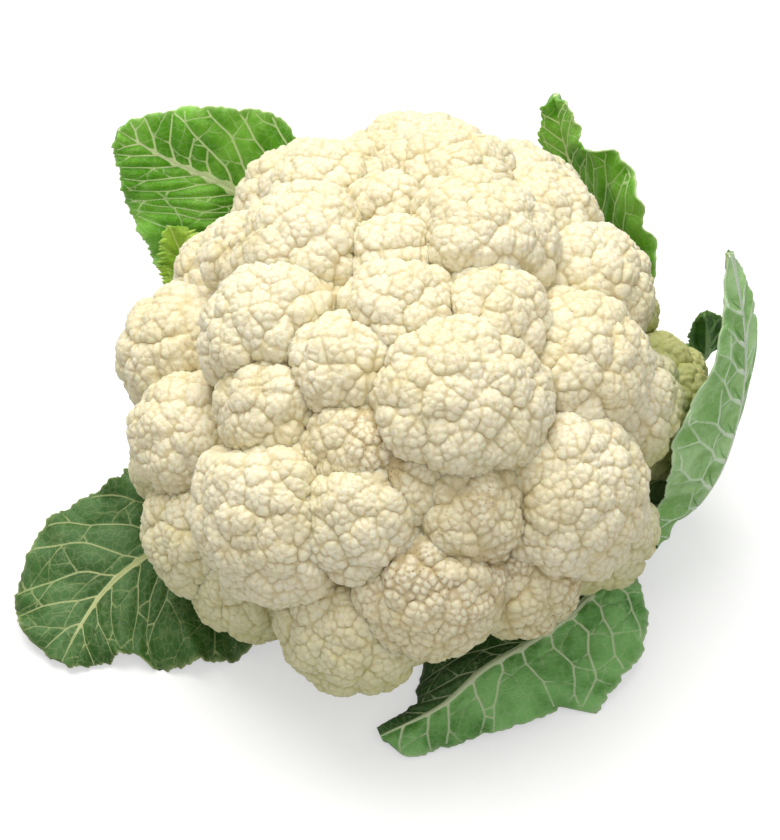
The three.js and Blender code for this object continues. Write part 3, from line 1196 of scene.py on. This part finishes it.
EDGE_WANDER = ((4, 0.55), (7, 0.45), (13, 0.35))  # an edge's slow waves: how many, and how high
EDGE_TEETH = ((23, 0.5), (37, 0.5), (61, 0.35))
VEIN_STEP = 1.2
VEIN_LENGTHS = (150, 15, 8)  # how far a vein runs, by order
FORK_GAPS = (8.0, 5.0, 100.0)  # distance between a vein's forks, by order
VEIN_WANDER = 2.6  # degrees that a vein strays at each step
VEIN_BEND = 0.22  # degrees that a side vein turns towards the tip at each step
VEIN_MARGIN = 0.96  # how near the edge a vein runs, as a share of the half's width
MEETING = 1.0  # a vein ends this near another
DEPARTURE = 2.2  # but not near its own start
VEINED = (0.16, 0.96)  # the shares of the midrib between which side veins leave it
NARROWEST = 6.0  # half width of the blade that a side vein needs
FORK_LEAN = (36, 18)  # degrees between a fork and its vein: least, and how much more at most
FORK_KICK = (9, 9)  # degrees that the vein turns the other way there
VEIN_REACH = 9.0  # how far off a vein is still felt
VEIN_TAPER = (1.15, 0.75)  # a vein's radius at its start and end, as shares
OUTSIDE = 3.0  # the distance outside a vein that counts as clear of it
FAR = 30.0  # further than a vein is looked for
STALK_WIDTHS = (9.0, 20.0)  # a leaf's half width where its stalk ends, and where it is all blade
STALK_SHARES = (0.4, 0.6)  # the shares of its length between which it is blade in any case
FINEST_RIB = 0.22
PUFF_WIDTH = 2.6  # distance from the veins in which the blade puffs up
UPPER_RIDGE = 0.16  # how far a vein stands out above
UNDER_RIDGE = 0.45
RIB_RISE = 0.45  # how far the midrib stands out above, as a share of its radius


@dataclass
class Vein:
    """A vein on the flattened blade: a line that thins towards its end."""

    path: np.ndarray
    radius: float
    strength: float  # how much paler than the blade it is


@dataclass
class Sprout:
    """A place where a vein starts: off the midrib at order 0, off another vein after that."""

    start: np.ndarray
    side: int  # -1 on the left half, 1 on the right
    lean: float  # degrees from the midrib
    order: int


@dataclass
class Leaf:
    """A leaf: a blade stretched between its midrib and its two edges, with its veins."""

    name: str
    finish: LeafFinish
    rib: Curve
    left: Curve
    right: Curve
    bow: float  # how far each half arches, as a share of its width
    ruffle: tuple[float, float]  # height of the edge's waves, and their number
    stem: tuple[float, float]  # depth of the midrib under the blade, at the foot and at the tip
    seed: int
    left_shift: Profile = ()  # place along the edge, and millimetres outwards
    right_shift: Profile = ()
    shadowed_side: Side | None = None  # the half painted dark, a painted shadow of the curd over it
    thickness: float = 1.0
    edge_thickness: float = 0.45
    wander: float = 0.6  # how far the edge strays in and out
    teeth: float = 0.45
    vein_gap: float = 9.5
    vein_angle: float = 56.0  # degrees from the midrib
    vein_radii: tuple[float, float, float] = (0.33, 0.24, 0.19)
    vein_strengths: tuple[float, float, float] = (0.85, 0.5, 0.26)
    rib_radius: float = 1.8  # half the width of the midrib on the upper side
    quilting: float = 1.2  # how far the blade puffs up between its veins
    net_apart: float = 40.0  # sets the underside's finest veins apart from the upper side's
    clearance: float = 0.25  # the lowest that a leaf comes over the table
    points_along: int = 270
    points_across: int = 181

    def shares(self) -> tuple[np.ndarray, np.ndarray]:
        """Return the mesh's places from foot to tip, and from edge to edge."""
        along = np.linspace(0, 1, self.points_along)
        even = np.linspace(-1, 1, self.points_across)
        return along, np.sign(even) * (0.8 * np.abs(even) + 0.2 * np.abs(even) ** 1.6)

    def edge_shift(self, along: np.ndarray, side: Side) -> np.ndarray:
        """Find how far the edge stands out from its smooth curve.

        Args:
            along: Places from foot to tip.
            side: The half of the blade.

        Returns:
            Millimetres outwards, one per place.
        """
        rng = np.random.default_rng(self.seed * 2 + (side is Side.RIGHT))
        shift = np.zeros_like(along)
        for size, waves_and_heights in ((self.wander, EDGE_WANDER), (self.teeth, EDGE_TEETH)):
            for waves, height in waves_and_heights:
                shift += size * height * np.sin(2 * math.pi * (waves * along + rng.random()))
        measured = self.right_shift if side is Side.RIGHT else self.left_shift
        if measured:
            shift += np.interp(along, *np.array(measured).T)
        return shift

    def middle_surface(self) -> tuple[np.ndarray, np.ndarray, np.ndarray]:
        """Stretch the blade between midrib and edges.

        Returns:
            The grid of points, the distance along the midrib of each row, and the signed distance
            from the midrib of each point.
        """
        along, across = self.shares()
        curves = (self.rib, self.left, self.right)
        rib, left, right = (catmull_rom(np.array(curve, float), along) for curve in curves)
        forward = np.gradient(rib, axis=0)
        face = unit(np.cross(right - left, forward))
        rows = np.concatenate([[0], np.cumsum(np.linalg.norm(np.diff(rib, axis=0), axis=1))])
        share = np.abs(across)[None, :, None]
        on_left = (across < 0)[None, :, None]
        half = np.where(on_left, (left - rib)[:, None], (right - rib)[:, None])
        width = np.linalg.norm(half, axis=-1, keepdims=True)
        grown = np.minimum(1, width / 20)
        shifts = [self.edge_shift(along, side)[:, None, None] for side in Side]
        shift = np.where(on_left, *shifts)
        stretch = 1 + shift * np.minimum(1, width / 5) * share**3 / np.maximum(width, 1)
        height, waves = self.ruffle
        phase = np.where(on_left, 0.0, 1.9)
        u = along[:, None, None]
        wave = height * share**3 * np.sin(2 * math.pi * waves * u + phase)
        wave = wave + 0.45 * height * share**5 * np.sin(2 * math.pi * waves * 2.7 * u + 2.3 * phase + 1)
        arch = self.bow * width * 4 * share * (1 - share)
        grid = rib[:, None] + half * share * stretch + face[:, None] * (arch + wave * grown)
        return grid, rows, (across[None] * width[..., 0] * stretch[..., 0])

    def grow_veins(self, rows: np.ndarray, half_left: np.ndarray, half_right: np.ndarray) -> list[Vein]:
        """Branch the side veins off the midrib, then fork them, then fork the forks.

        Args:
            rows: Distance along the midrib of each row.
            half_left: The left half's width at each row.
            half_right: The right half's width at each row.

        Returns:
            The veins, thickest first.
        """
        rng = np.random.default_rng(self.seed)
        length = rows[-1]
        halves = {-1: half_left, 1: half_right}
        sprouts = []
        for side, half in halves.items():
            place = length * VEINED[0] + (self.vein_gap * 0.5 if side > 0 else 0)
            while place < length * VEINED[1]:
                if np.interp(place + 0.4 * self.vein_gap, rows, half) > NARROWEST:
                    lean = self.vein_angle * (1.15 - 0.4 * place / length)
                    sprouts.append(Sprout(np.array([place, 0.0]), side, lean, 0))
                place += self.vein_gap * (0.8 + 0.4 * rng.random()) * (1.1 - 0.4 * place / length)
        veins: list[Vein] = []
        while sprouts:
            forks: list[Sprout] = []
            for sprout in sprouts:
                path = self.trace(sprout, veins, forks, rng, rows, halves[sprout.side])
                if len(path) > 2:
                    veins.append(Vein(path, self.vein_radii[sprout.order], self.vein_strengths[sprout.order]))
            sprouts = [fork for fork in forks if fork.order < len(self.vein_radii)]
        return veins

    @staticmethod
    def trace(
        sprout: Sprout,
        veins: list[Vein],
        forks: list[Sprout],
        rng: np.random.Generator,
        rows: np.ndarray,
        half: np.ndarray,
    ) -> np.ndarray:
        """Run one vein from its start until it nears the edge or joins another vein.

        Args:
            sprout: Where it starts.
            veins: The veins that are there already.
            forks: The list that the vein's own forks are added to.
            rng: The leaf's own random numbers.
            rows: Distance along the midrib of each row.
            half: The half's width at each row.

        Returns:
            The vein's path.
        """
        there = np.vstack([vein.path for vein in veins]) if veins else np.full((1, 2), 1e6)
        there = there[np.linalg.norm(there - sprout.start, axis=1) > DEPARTURE]
        limit = VEIN_LENGTHS[sprout.order] * (0.7 + 0.6 * rng.random())
        fork_gap = FORK_GAPS[sprout.order]
        lean, travelled, next_fork = sprout.lean, 0.0, fork_gap * (0.5 + 0.6 * rng.random())
        turn = 1 if rng.random() < 0.5 else -1
        path = [sprout.start]
        while travelled < limit:
            lean += rng.normal(0, VEIN_WANDER) - (VEIN_BEND if sprout.order == 0 else 0)
            angle = math.radians(lean)
            here = path[-1] + VEIN_STEP * np.array([math.cos(angle), sprout.side * math.sin(angle)])
            room = float(np.interp(here[0], rows, half))
            if not 0 < here[0] < rows[-1] or not 0.4 < here[1] * sprout.side < room * VEIN_MARGIN:
                break
            path.append(here)
            travelled += VEIN_STEP
            if len(there) and np.linalg.norm(there - here, axis=1).min() < MEETING:
                break
            if travelled > next_fork:
                fork_lean = lean + (FORK_LEAN[0] + FORK_LEAN[1] * rng.random()) * turn
                forks.append(Sprout(here, sprout.side, fork_lean, sprout.order + 1))
                kick = turn * (FORK_KICK[0] + FORK_KICK[1] * rng.random())
                lean -= kick * (0.7 if sprout.order else 1.0)
                turn = -turn
                next_fork = travelled + fork_gap * (0.7 + 0.7 * rng.random())
        return np.array(path)

    @staticmethod
    def lay_veins(veins: list[Vein], flat: np.ndarray) -> tuple[np.ndarray, np.ndarray, np.ndarray]:
        """Measure every point of the blade against the veins.

        Args:
            veins: The veins.
            flat: The points on the flattened blade.

        Returns:
            The distance outside the nearest vein, that vein's strength, and the distance to the
            nearest strong vein.
        """
        outside = np.full(len(flat), OUTSIDE)
        strength = np.zeros(len(flat))
        strong = np.full(len(flat), VEIN_REACH)
        for vein in veins:
            low, high = vein.path.min(axis=0) - VEIN_REACH, vein.path.max(axis=0) + VEIN_REACH
            inside = np.nonzero(((flat > low) & (flat < high)).all(axis=1))[0]
            if not len(inside):
                continue
            spot = flat[inside]
            best = np.full(len(spot), FAR)
            reach = np.full(len(spot), FAR)
            radii = vein.radius * np.linspace(*VEIN_TAPER, len(vein.path))
            along = np.zeros(len(spot))
            for number, (start, end, radius) in enumerate(zip(vein.path[:-1], vein.path[1:], radii)):
                line = end - start
                share = np.clip(((spot - start) @ line) / max(line @ line, 1e-9), 0, 1)
                away = np.linalg.norm(spot - start - share[:, None] * line, axis=1)
                best = np.minimum(best, away)
                along[away - radius < reach] = number / len(radii)
                reach = np.minimum(reach, away - radius)
            closer = reach < outside[inside]
            outside[inside[closer]] = reach[closer]
            strength[inside[closer]] = vein.strength * (1 - 0.35 * along[closer])
            strong[inside] = np.minimum(strong[inside], best + 4 * (0.95 - vein.strength))
        return outside, strength, strong

    def build(self) -> bpy.types.Object:
        """Build the leaf: upper and lower face, stitched all round.

        Returns:
            The leaf's object.
        """
        grid, rows, offset = self.middle_surface()
        high, wide = offset.shape
        along, across = self.shares()
        flat = np.stack([np.repeat(rows[:, None], wide, axis=1), offset], axis=-1).reshape(-1, 2)
        veins = self.grow_veins(rows, -offset[:, 0], offset[:, -1])
        outside, strength, strong = (values.reshape(high, wide) for values in self.lay_veins(veins, flat))
        room = np.maximum(-offset[:, :1], offset[:, -1:])
        bladed = np.maximum(smooth_step(*STALK_WIDTHS, room), smooth_step(*STALK_SHARES, along[:, None]))
        rib_width = self.rib_radius * (1 - along[:, None] ** 2.2) * bladed + FINEST_RIB
        from_rib = np.abs(offset) - rib_width
        nearer = from_rib < outside
        outside = np.where(nearer, from_rib, outside)
        strength = np.where(nearer, 1.0, strength)
        strong = np.minimum(strong, np.abs(offset))
        ridge = strength * np.exp(-np.maximum(0, outside + 0.15) ** 2 / 0.30)
        puff = (1 - np.exp(-((strong / PUFF_WIDTH) ** 2))) * bladed
        rib_size = self.stem[0] + (self.stem[1] - self.stem[0]) * along[:, None] ** 0.6
        rib_under = rib_size * np.maximum(0, 1 - (np.abs(offset) / (rib_size + 2)) ** 2)
        rib_above = rib_width * np.exp(-((offset / (1.2 * rib_width)) ** 2)) * bladed
        lift = self.quilting * puff * (1 - np.abs(across)[None] ** 6)
        normals = self.grid_normals(grid)
        grid = grid + normals * lift[..., None]
        normals = self.grid_normals(grid)
        to_edge = np.abs(across)[None] ** 5
        half_thick = 0.5 * (self.edge_thickness * to_edge + self.thickness * (1 - to_edge))
        upper = grid + normals * (half_thick + UPPER_RIDGE * ridge + RIB_RISE * rib_above)[..., None]
        lower = grid - normals * (half_thick + UNDER_RIDGE * ridge + rib_under)[..., None]
        points = np.vstack([upper.reshape(-1, 3), lower.reshape(-1, 3)])
        points[:, 2] = np.maximum(points[:, 2], self.clearance)
        stemlike = (1 - bladed) + 0 * offset
        rim = np.exp(-(1 - np.abs(across)[None]) * room / 0.6) * bladed
        keel = smooth_step(0.35, 0.9, rib_under / rib_size) * (1 - smooth_step(0.3, 0.55, along[:, None]))
        # Mask of the curd's painted shadow on one half of the blade.
        deep = smooth_step(0.0, 1.5, offset * self.shadowed_side.value) if self.shadowed_side else 0 * offset
        attributes = {
            "outside": np.tile(outside.ravel(), 2),
            "strength": np.tile(strength.ravel(), 2),
            "stem": np.concatenate([stemlike.ravel(), np.maximum(stemlike, keel).ravel()]),
            "puff": np.tile(puff.ravel(), 2),
            "rim": np.tile(rim.ravel(), 2),
            "deep": np.tile(deep.ravel(), 2),
            "under": np.repeat([0.0, 1.0], high * wide),
            "flat": np.column_stack([np.vstack([flat, flat]), np.repeat([0.0, self.net_apart], high * wide)]),
        }
        faces, corner_uv = self.stitch(high, wide, rows, offset)
        material = self.finish_material()
        return make_piece(self.name, points, faces, attributes, corner_uv, material)

    def finish_material(self) -> bpy.types.Material:
        """Return the leaf's material, made the first time that it is asked for."""
        return bpy.data.materials.get(self.finish.name) or self.finish.material()

    @staticmethod
    def grid_normals(grid: np.ndarray) -> np.ndarray:
        """Find the upper side's direction at each point of a grid."""
        return unit(np.cross(np.gradient(grid, axis=1), np.gradient(grid, axis=0)))

    @staticmethod
    def stitch(high: int, wide: int, rows: np.ndarray, offset: np.ndarray) -> tuple[np.ndarray, np.ndarray]:
        """Join the upper and the lower face into one closed skin.

        Args:
            high: The number of rows.
            wide: The number of points in a row.
            rows: Distance along the midrib of each row.
            offset: Signed distance from the midrib of each point.

        Returns:
            Quads, and two map numbers for each corner.
        """
        number = np.arange(high * wide).reshape(high, wide)
        a, b, c, d = number[:-1, :-1], number[:-1, 1:], number[1:, 1:], number[1:, :-1]
        upper = np.stack([a, b, c, d], axis=-1).reshape(-1, 4)
        lower = upper[:, ::-1] + high * wide
        loop = np.concatenate([number[0, :], number[1:, -1], number[-1, :-1][::-1], number[1:-1, 0][::-1]])
        after = np.roll(loop, -1)
        edge = np.stack([after, loop, loop + high * wide, after + high * wide], axis=-1)
        faces = np.vstack([upper, lower, edge])
        # The upper side maps to the left half of the square, and the underside to its right half.
        size = max(rows[-1], 2 * np.abs(offset).max()) * 1.04
        flat_x = 0.245 + offset / size * 0.5
        flat_y = 0.01 + np.repeat(rows[:, None], wide, axis=1) / size
        place = np.stack([flat_x, flat_y], axis=-1).reshape(-1, 2)
        uv = np.vstack([place, place + [0.5, 0]])
        return faces, uv[faces]


def leaves() -> list[Leaf]:
    """Set out the leaves.

    Returns:
        The leaves, from the front left round to the back left, and then the leaflets.
    """
    return [
        Leaf(
            name="leaf_front_left",
            finish=DEEP_LEAF,
            rib=(
                (-22, 2, 9), (-44, -6, 10), (-66, -15, 12), (-80, -26, 14), (-93, -38, 12),
                (-102, -51, 7), (-107, -61, 2.5),
            ),
            left=(
                (-22, -4, 10), (-42, -15, 11), (-47, -52, 5), (-63, -61, 4), (-77, -63, 3),
                (-91, -61, 3), (-105, -63, 2),
            ),
            right=(
                (-22, 7, 10), (-46, 4, 12), (-86, 2, 28), (-98, -7, 24), (-115, -16, 16), (-124, -39, 8),
                (-111, -60, 2.5),
            ),
            bow=0.06,
            ruffle=(3.0, 4.2),
            stem=(7, 1),
            seed=11,
            vein_gap=12.0,
            left_shift=(
                (0.4, 1.5), (0.65, 1.1), (0.7, -0.2), (0.725, -3.8), (0.775, -2.7), (0.825, -0.5),
                (0.9, 0.7), (1, -0.2),
            ),
            right_shift=(
                (0.3, -1.5), (0.375, -3.8), (0.425, -3.3), (0.5, -0.7), (0.6, 1.1), (0.675, -1),
                (0.825, -0.7), (0.9, 1.2), (0.95, 2.9), (1, 0.2),
            ),
        ),
        Leaf(
            name="leaf_front_right",
            finish=MIDDLE_LEAF,
            rib=(
                (19.4, -10.3, 9), (44, -18, 11), (60, -35, 15), (52, -52, 17), (38, -64, 16),
                (22, -74, 14), (9, -84, 9), (-9, -91, 3.5),
            ),
            left=(
                (20.7, -6, 10), (46, -11, 12), (67, -27, 13), (73, -46, 9), (66, -69, 4), (47, -81, 3),
                (21, -92, 2), (-3, -96, 2),
            ),
            right=(
                (18.1, -14.6, 10), (41, -25, 12), (48, -32, 10), (42, -37, 8), (28, -44, 6),
                (11, -54, 4), (2, -74, 3), (-10, -87, 2.5),
            ),
            bow=0.05,
            ruffle=(1.3, 4),
            stem=(6, 1),
            seed=12,
            vein_gap=11.0,
            vein_strengths=(0.95, 0.6, 0.25),
            shadowed_side=Side.RIGHT,
            left_shift=(
                (0.3, 1), (0.375, -0.5), (0.45, 0.8), (0.525, 0.3), (0.575, -1.1), (0.625, 0.7),
                (0.65, 2.4), (0.68, 4.1), (0.7, -4.3), (0.75, -1.6), (0.85, -2.1), (0.925, -0.7),
                (0.975, 0.9), (1, 0.5),
            ),
            right_shift=(
                (0.7, 0), (0.75, 1.4), (0.8, 3.5), (0.85, 2.1), (0.875, -3.9), (0.925, -2.5), (1, -1.1),
            ),
        ),
        Leaf(
            name="leaf_right_tall",
            finish=PALE_LEAF,
            rib=(
                (21.8, 2.7, 9), (50, 1, 9), (81, -6, 13), (92, -12, 32), (98, -10, 60), (98, -5, 88),
                (93, 1, 115),
            ),
            left=(
                (21.8, 7.2, 10), (50, 8, 12), (88, 12, 15), (100, 16, 38), (105, 15, 64),
                (104.5, 10, 92), (93.4, 1.6, 116),
            ),
            right=(
                (21.8, -1.8, 10), (50, -5, 12), (75, -24, 14), (76, -27, 34), (79, -29, 62),
                (89, -19, 90), (92.7, 0.6, 116),
            ),
            bow=-0.12,
            ruffle=(1, 4),
            stem=(6, 1),
            seed=13,
            rib_radius=0.8,
            vein_gap=13.0,
            vein_radii=(0.34, 0.28, 0.20),
            vein_strengths=(0.9, 0.75, 0.15),
            left_shift=((0.7, 0), (0.75, -2.7), (0.825, -5), (0.875, -4), (0.95, -0.3), (1, 0)),
            right_shift=(
                (0.35, 0), (0.475, -1.3), (0.525, -2.3), (0.625, 0.5), (0.7, 1.6), (0.8, 2),
                (0.85, -0.7), (0.925, -1.3), (1, -1),
            ),
        ),
        Leaf(
            name="leaf_right_small",
            finish=SHADED_LEAF,
            rib=(
                (16.1, 15, 9), (44, 36, 10), (72, 50, 16), (91, 46, 28), (95, 39, 40), (95, 37, 51),
                (94, 36, 59),
            ),
            left=(
                (13.4, 18.6, 10), (39, 41, 12), (68, 60, 19), (96, 54, 29), (102, 42, 40),
                (100.5, 38, 52), (95, 36, 60),
            ),
            right=(
                (18.8, 11.4, 10), (48, 30, 12), (79, 38, 18), (89, 35, 28), (90, 34, 40), (90.5, 35, 51),
                (93, 36, 59),
            ),
            bow=-0.08,
            ruffle=(0.8, 3),
            stem=(5, 1),
            seed=14,
            left_shift=((0.8, 0), (0.93, 2.5), (1, 1)),
            right_shift=((0.8, 0), (0.93, 2), (1, 1)),
            vein_gap=8.0,
        ),
        Leaf(
            name="leaf_back_right",
            finish=BRIGHT_LEAF,
            rib=(
                (5.3, 21.4, 9), (22, 50, 10), (46, 80, 18), (66, 85, 40), (61, 88, 58), (55, 91, 73),
                (51, 93, 86), (47, 94, 101),
            ),
            left=(
                (1.4, 23.7, 10), (14, 54, 12), (28, 90, 20), (47, 100, 32), (47, 99, 52), (45, 97, 70),
                (43, 96, 85), (43, 94, 97),
            ),
            right=(
                (9.2, 19.1, 10), (30, 45, 12), (64, 66, 24), (80, 55, 54), (77, 62, 78), (67, 73, 93),
                (55, 81, 95), (51, 88, 104),
            ),
            bow=0.05,
            ruffle=(2, 5),
            stem=(6, 1),
            seed=15,
            right_shift=(
                (0.35, 1), (0.45, -2.8), (0.55, -4.2), (0.6, 0.6), (0.65, -0.9), (0.725, -1.2),
                (0.75, 0), (0.775, -3.2), (0.8, -9.3), (0.825, -5.2), (0.85, -1.7), (0.9, 1.1),
                (0.95, 1.5), (0.975, 0),
            ),
            vein_gap=9.0,
            vein_strengths=(1.0, 0.7, 0.3),
            rib_radius=2.2,
        ),
        Leaf(
            name="leaf_back_left",
            finish=BRIGHT_LEAF,
            rib=(
                (-7.5, 21, 9), (-22, 50, 10), (-36, 84, 15), (-43, 99, 41), (-59, 98, 59), (-79, 97, 72),
                (-95, 95, 86),
            ),
            left=(
                (-11.7, 19.5, 10), (-30, 46, 12), (-54, 76, 18), (-79, 84, 37), (-90, 86, 48),
                (-96, 90, 67), (-97, 93, 83),
            ),
            right=(
                (-3.3, 22.6, 10), (-14, 54, 12), (-12, 92, 16), (-26, 105, 56), (-43, 104, 82),
                (-67, 101, 91), (-91, 97, 90),
            ),
            bow=0.05,
            ruffle=(1.2, 5),
            stem=(7, 1),
            seed=16,
            rib_radius=3.6,
            vein_radii=(0.40, 0.27, 0.20),
            vein_strengths=(1.0, 0.65, 0.3),
            left_shift=((0.4, 2), (0.5, 5), (0.55, 3), (0.6, 1), (0.65, -0.2), (0.8, -0.8), (1, 0.5)),
            right_shift=((0.5, -1), (0.6, -0.5), (0.675, 1.3), (0.85, 0.8), (0.9, -0.7), (1, -0.5)),
        ),
        Leaf(
            name="leaflet_left",
            finish=YOUNG_LEAF,
            rib=(
                (-17.5, 13.5, 9), (-42, 34, 9), (-66, 58, 16), (-73, 68, 40), (-75, 72, 50),
                (-79, 75, 62),
            ),
            left=(
                (-20, 9.5, 10), (-45, 29, 11), (-71, 54, 18), (-80, 62, 42), (-82, 68, 52),
                (-81, 74, 60),
            ),
            right=(
                (-14, 18, 10), (-39, 38, 11), (-62, 62, 18), (-64, 74, 36), (-66, 76, 54), (-76, 77, 60),
            ),
            bow=0.05,
            ruffle=(0.6, 5),
            stem=(5, 1),
            seed=17,
            vein_gap=7.0,
            teeth=1.5,
            points_across=101,
        ),
        Leaf(
            name="leaflet_front",
            finish=YOUNG_LEAF,
            rib=((8, -20.5, 14), (14, -36, 16), (19, -52, 19), (23, -65, 28)),
            left=((10.5, -19.5, 14.5), (18, -34, 17), (25, -49, 20), (24.5, -64, 28)),
            right=((5.5, -21.5, 14.5), (10, -38, 17), (12, -54, 20), (21, -65, 28)),
            bow=0.05,
            ruffle=(0.5, 3),
            stem=(3, 0.6),
            seed=18,
            vein_gap=6.0,
            points_along=90,
            points_across=41,
        ),
    ]


# ---- The studio ----


@dataclass(frozen=True)
class Softbox:
    """A square lamp that aims at the head."""

    name: str
    place: tuple[float, float, float]
    size: float
    power: float
    tint: Colour = (1.0, 1.0, 1.0)

    def build(self, target: Vector) -> None:
        """Hang the lamp, aimed at a target."""
        lamp = bpy.data.lights.new(self.name, "AREA")
        lamp.shape = "SQUARE"
        lamp.size = self.size * MM
        lamp.energy = self.power
        lamp.color = self.tint
        holder = bpy.data.objects.new(self.name, lamp)
        holder.location = Vector(self.place) * MM
        holder.rotation_euler = (target - holder.location).to_track_quat("-Z", "Y").to_euler()
        bpy.context.scene.collection.objects.link(holder)


@dataclass
class Studio:
    """A white table, soft lamps and a camera that looks down on the head."""

    target: tuple[float, float, float] = (-6.25, 0.0, 46.8)
    distance: float = 800.0
    elevation: float = 45.0
    view_height: float = 262.5  # what the frame's long side spans at the target
    sensor: float = 36.0
    table_half: float = 6000.0
    sky: float = 0.45
    backdrop: float = 1.0  # how bright the room behind the table looks
    floor_glow: float = 0.50  # lifts the table to white, only where the camera sees it
    lamplit: tuple[float, float] = (0.5, 2.2)  # where the lamps' light fades from the table, in metres
    lamps: tuple[Softbox, ...] = (
        Softbox("key_lamp", (-160, 330, 1150), 1000, 16.0, (1.0, 0.985, 0.96)),
        Softbox("fill_lamp", (250, -800, 900), 900, 3.0),
    )

    def build(self) -> None:
        """Build the table, the lamps, the sky and the camera."""
        self.build_table()
        target = Vector(self.target) * MM
        for lamp in self.lamps:
            lamp.build(target)
        world = bpy.data.worlds.new("white_room")
        world.use_nodes = True
        sheet = Sheet(world.node_tree)
        seen = sheet.ramp(sheet.add("LightPath").outputs["Is Camera Ray"], 0.0, 1.0, self.sky, self.backdrop)
        sheet.feed(world.node_tree.nodes["Background"], Color=(1.0, 1.0, 1.0, 1.0), Strength=seen)
        bpy.context.scene.world = world
        bpy.context.scene.view_settings.view_transform = "Standard"
        self.build_camera(target)

    def build_table(self) -> None:
        """Lay the white table under the head."""
        half = self.table_half * MM
        mesh = bpy.data.meshes.new("table_mesh")
        rim = [(-half, -half, 0), (half, -half, 0), (half, half, 0), (-half, half, 0)]
        mesh.from_pydata(rim, [], [(0, 1, 2, 3)])
        material, sheet, shader = start_material("white_table")
        shader.inputs["Base Color"].default_value = (0.55, 0.55, 0.55, 1.0)
        shader.inputs["Roughness"].default_value = 0.6
        shader.inputs["Emission Color"].default_value = (1.0, 1.0, 1.0, 1.0)
        seen = sheet.add("LightPath").outputs["Is Camera Ray"]
        away = sheet.add("VectorMath", operation="LENGTH")
        sheet.feed(away, Vector=sheet.add("TexCoord").outputs["Object"])
        glow = sheet.ramp(away.outputs["Value"], *self.lamplit, self.floor_glow, self.backdrop)
        sheet.feed(shader, Emission_Strength=sheet.times(seen, glow))
        mesh.materials.append(material)
        table = bpy.data.objects.new("table", mesh)
        bpy.context.scene.collection.objects.link(table)

    def build_camera(self, target: Vector) -> None:
        """Set up the camera.

        Args:
            target: The point that it looks at, in metres.
        """
        lens = bpy.data.cameras.new("camera")
        lens.sensor_width = self.sensor
        lens.lens = self.sensor * self.distance / self.view_height
        camera = bpy.data.objects.new("camera", lens)
        slope = math.radians(self.elevation)
        camera.location = target + Vector((0, -math.cos(slope), math.sin(slope))) * self.distance * MM
        camera.rotation_euler = (target - camera.location).to_track_quat("-Z", "Y").to_euler()
        bpy.context.scene.collection.objects.link(camera)
        bpy.context.scene.camera = camera


def clear_defaults() -> None:
    """Remove the objects that a new Blender file starts with."""
    for thing in list(bpy.data.objects):
        if thing.name in {"Cube", "Light", "Camera"}:
            bpy.data.objects.remove(thing)


def corners(box: tuple[Vector, Vector]) -> list[list[float]]:
    """Return a box's corners as plain lists."""
    return [list(corner) for corner in box]


def main() -> None:
    """Build the cauliflower and its studio."""
    logging.basicConfig(level=logging.INFO, format="%(message)s")
    clear_defaults()
    stalk = Stalk()
    stalk.build()
    log.info("stalk built")
    florets = Curd().build(stalk)
    log.info("%d florets built", len(florets))
    for leaf in leaves():
        piece = leaf.build()
        log.info("%s: %d points", leaf.name, len(piece.data.vertices))
    Studio().build()


if __name__ == "__main__":
    main()
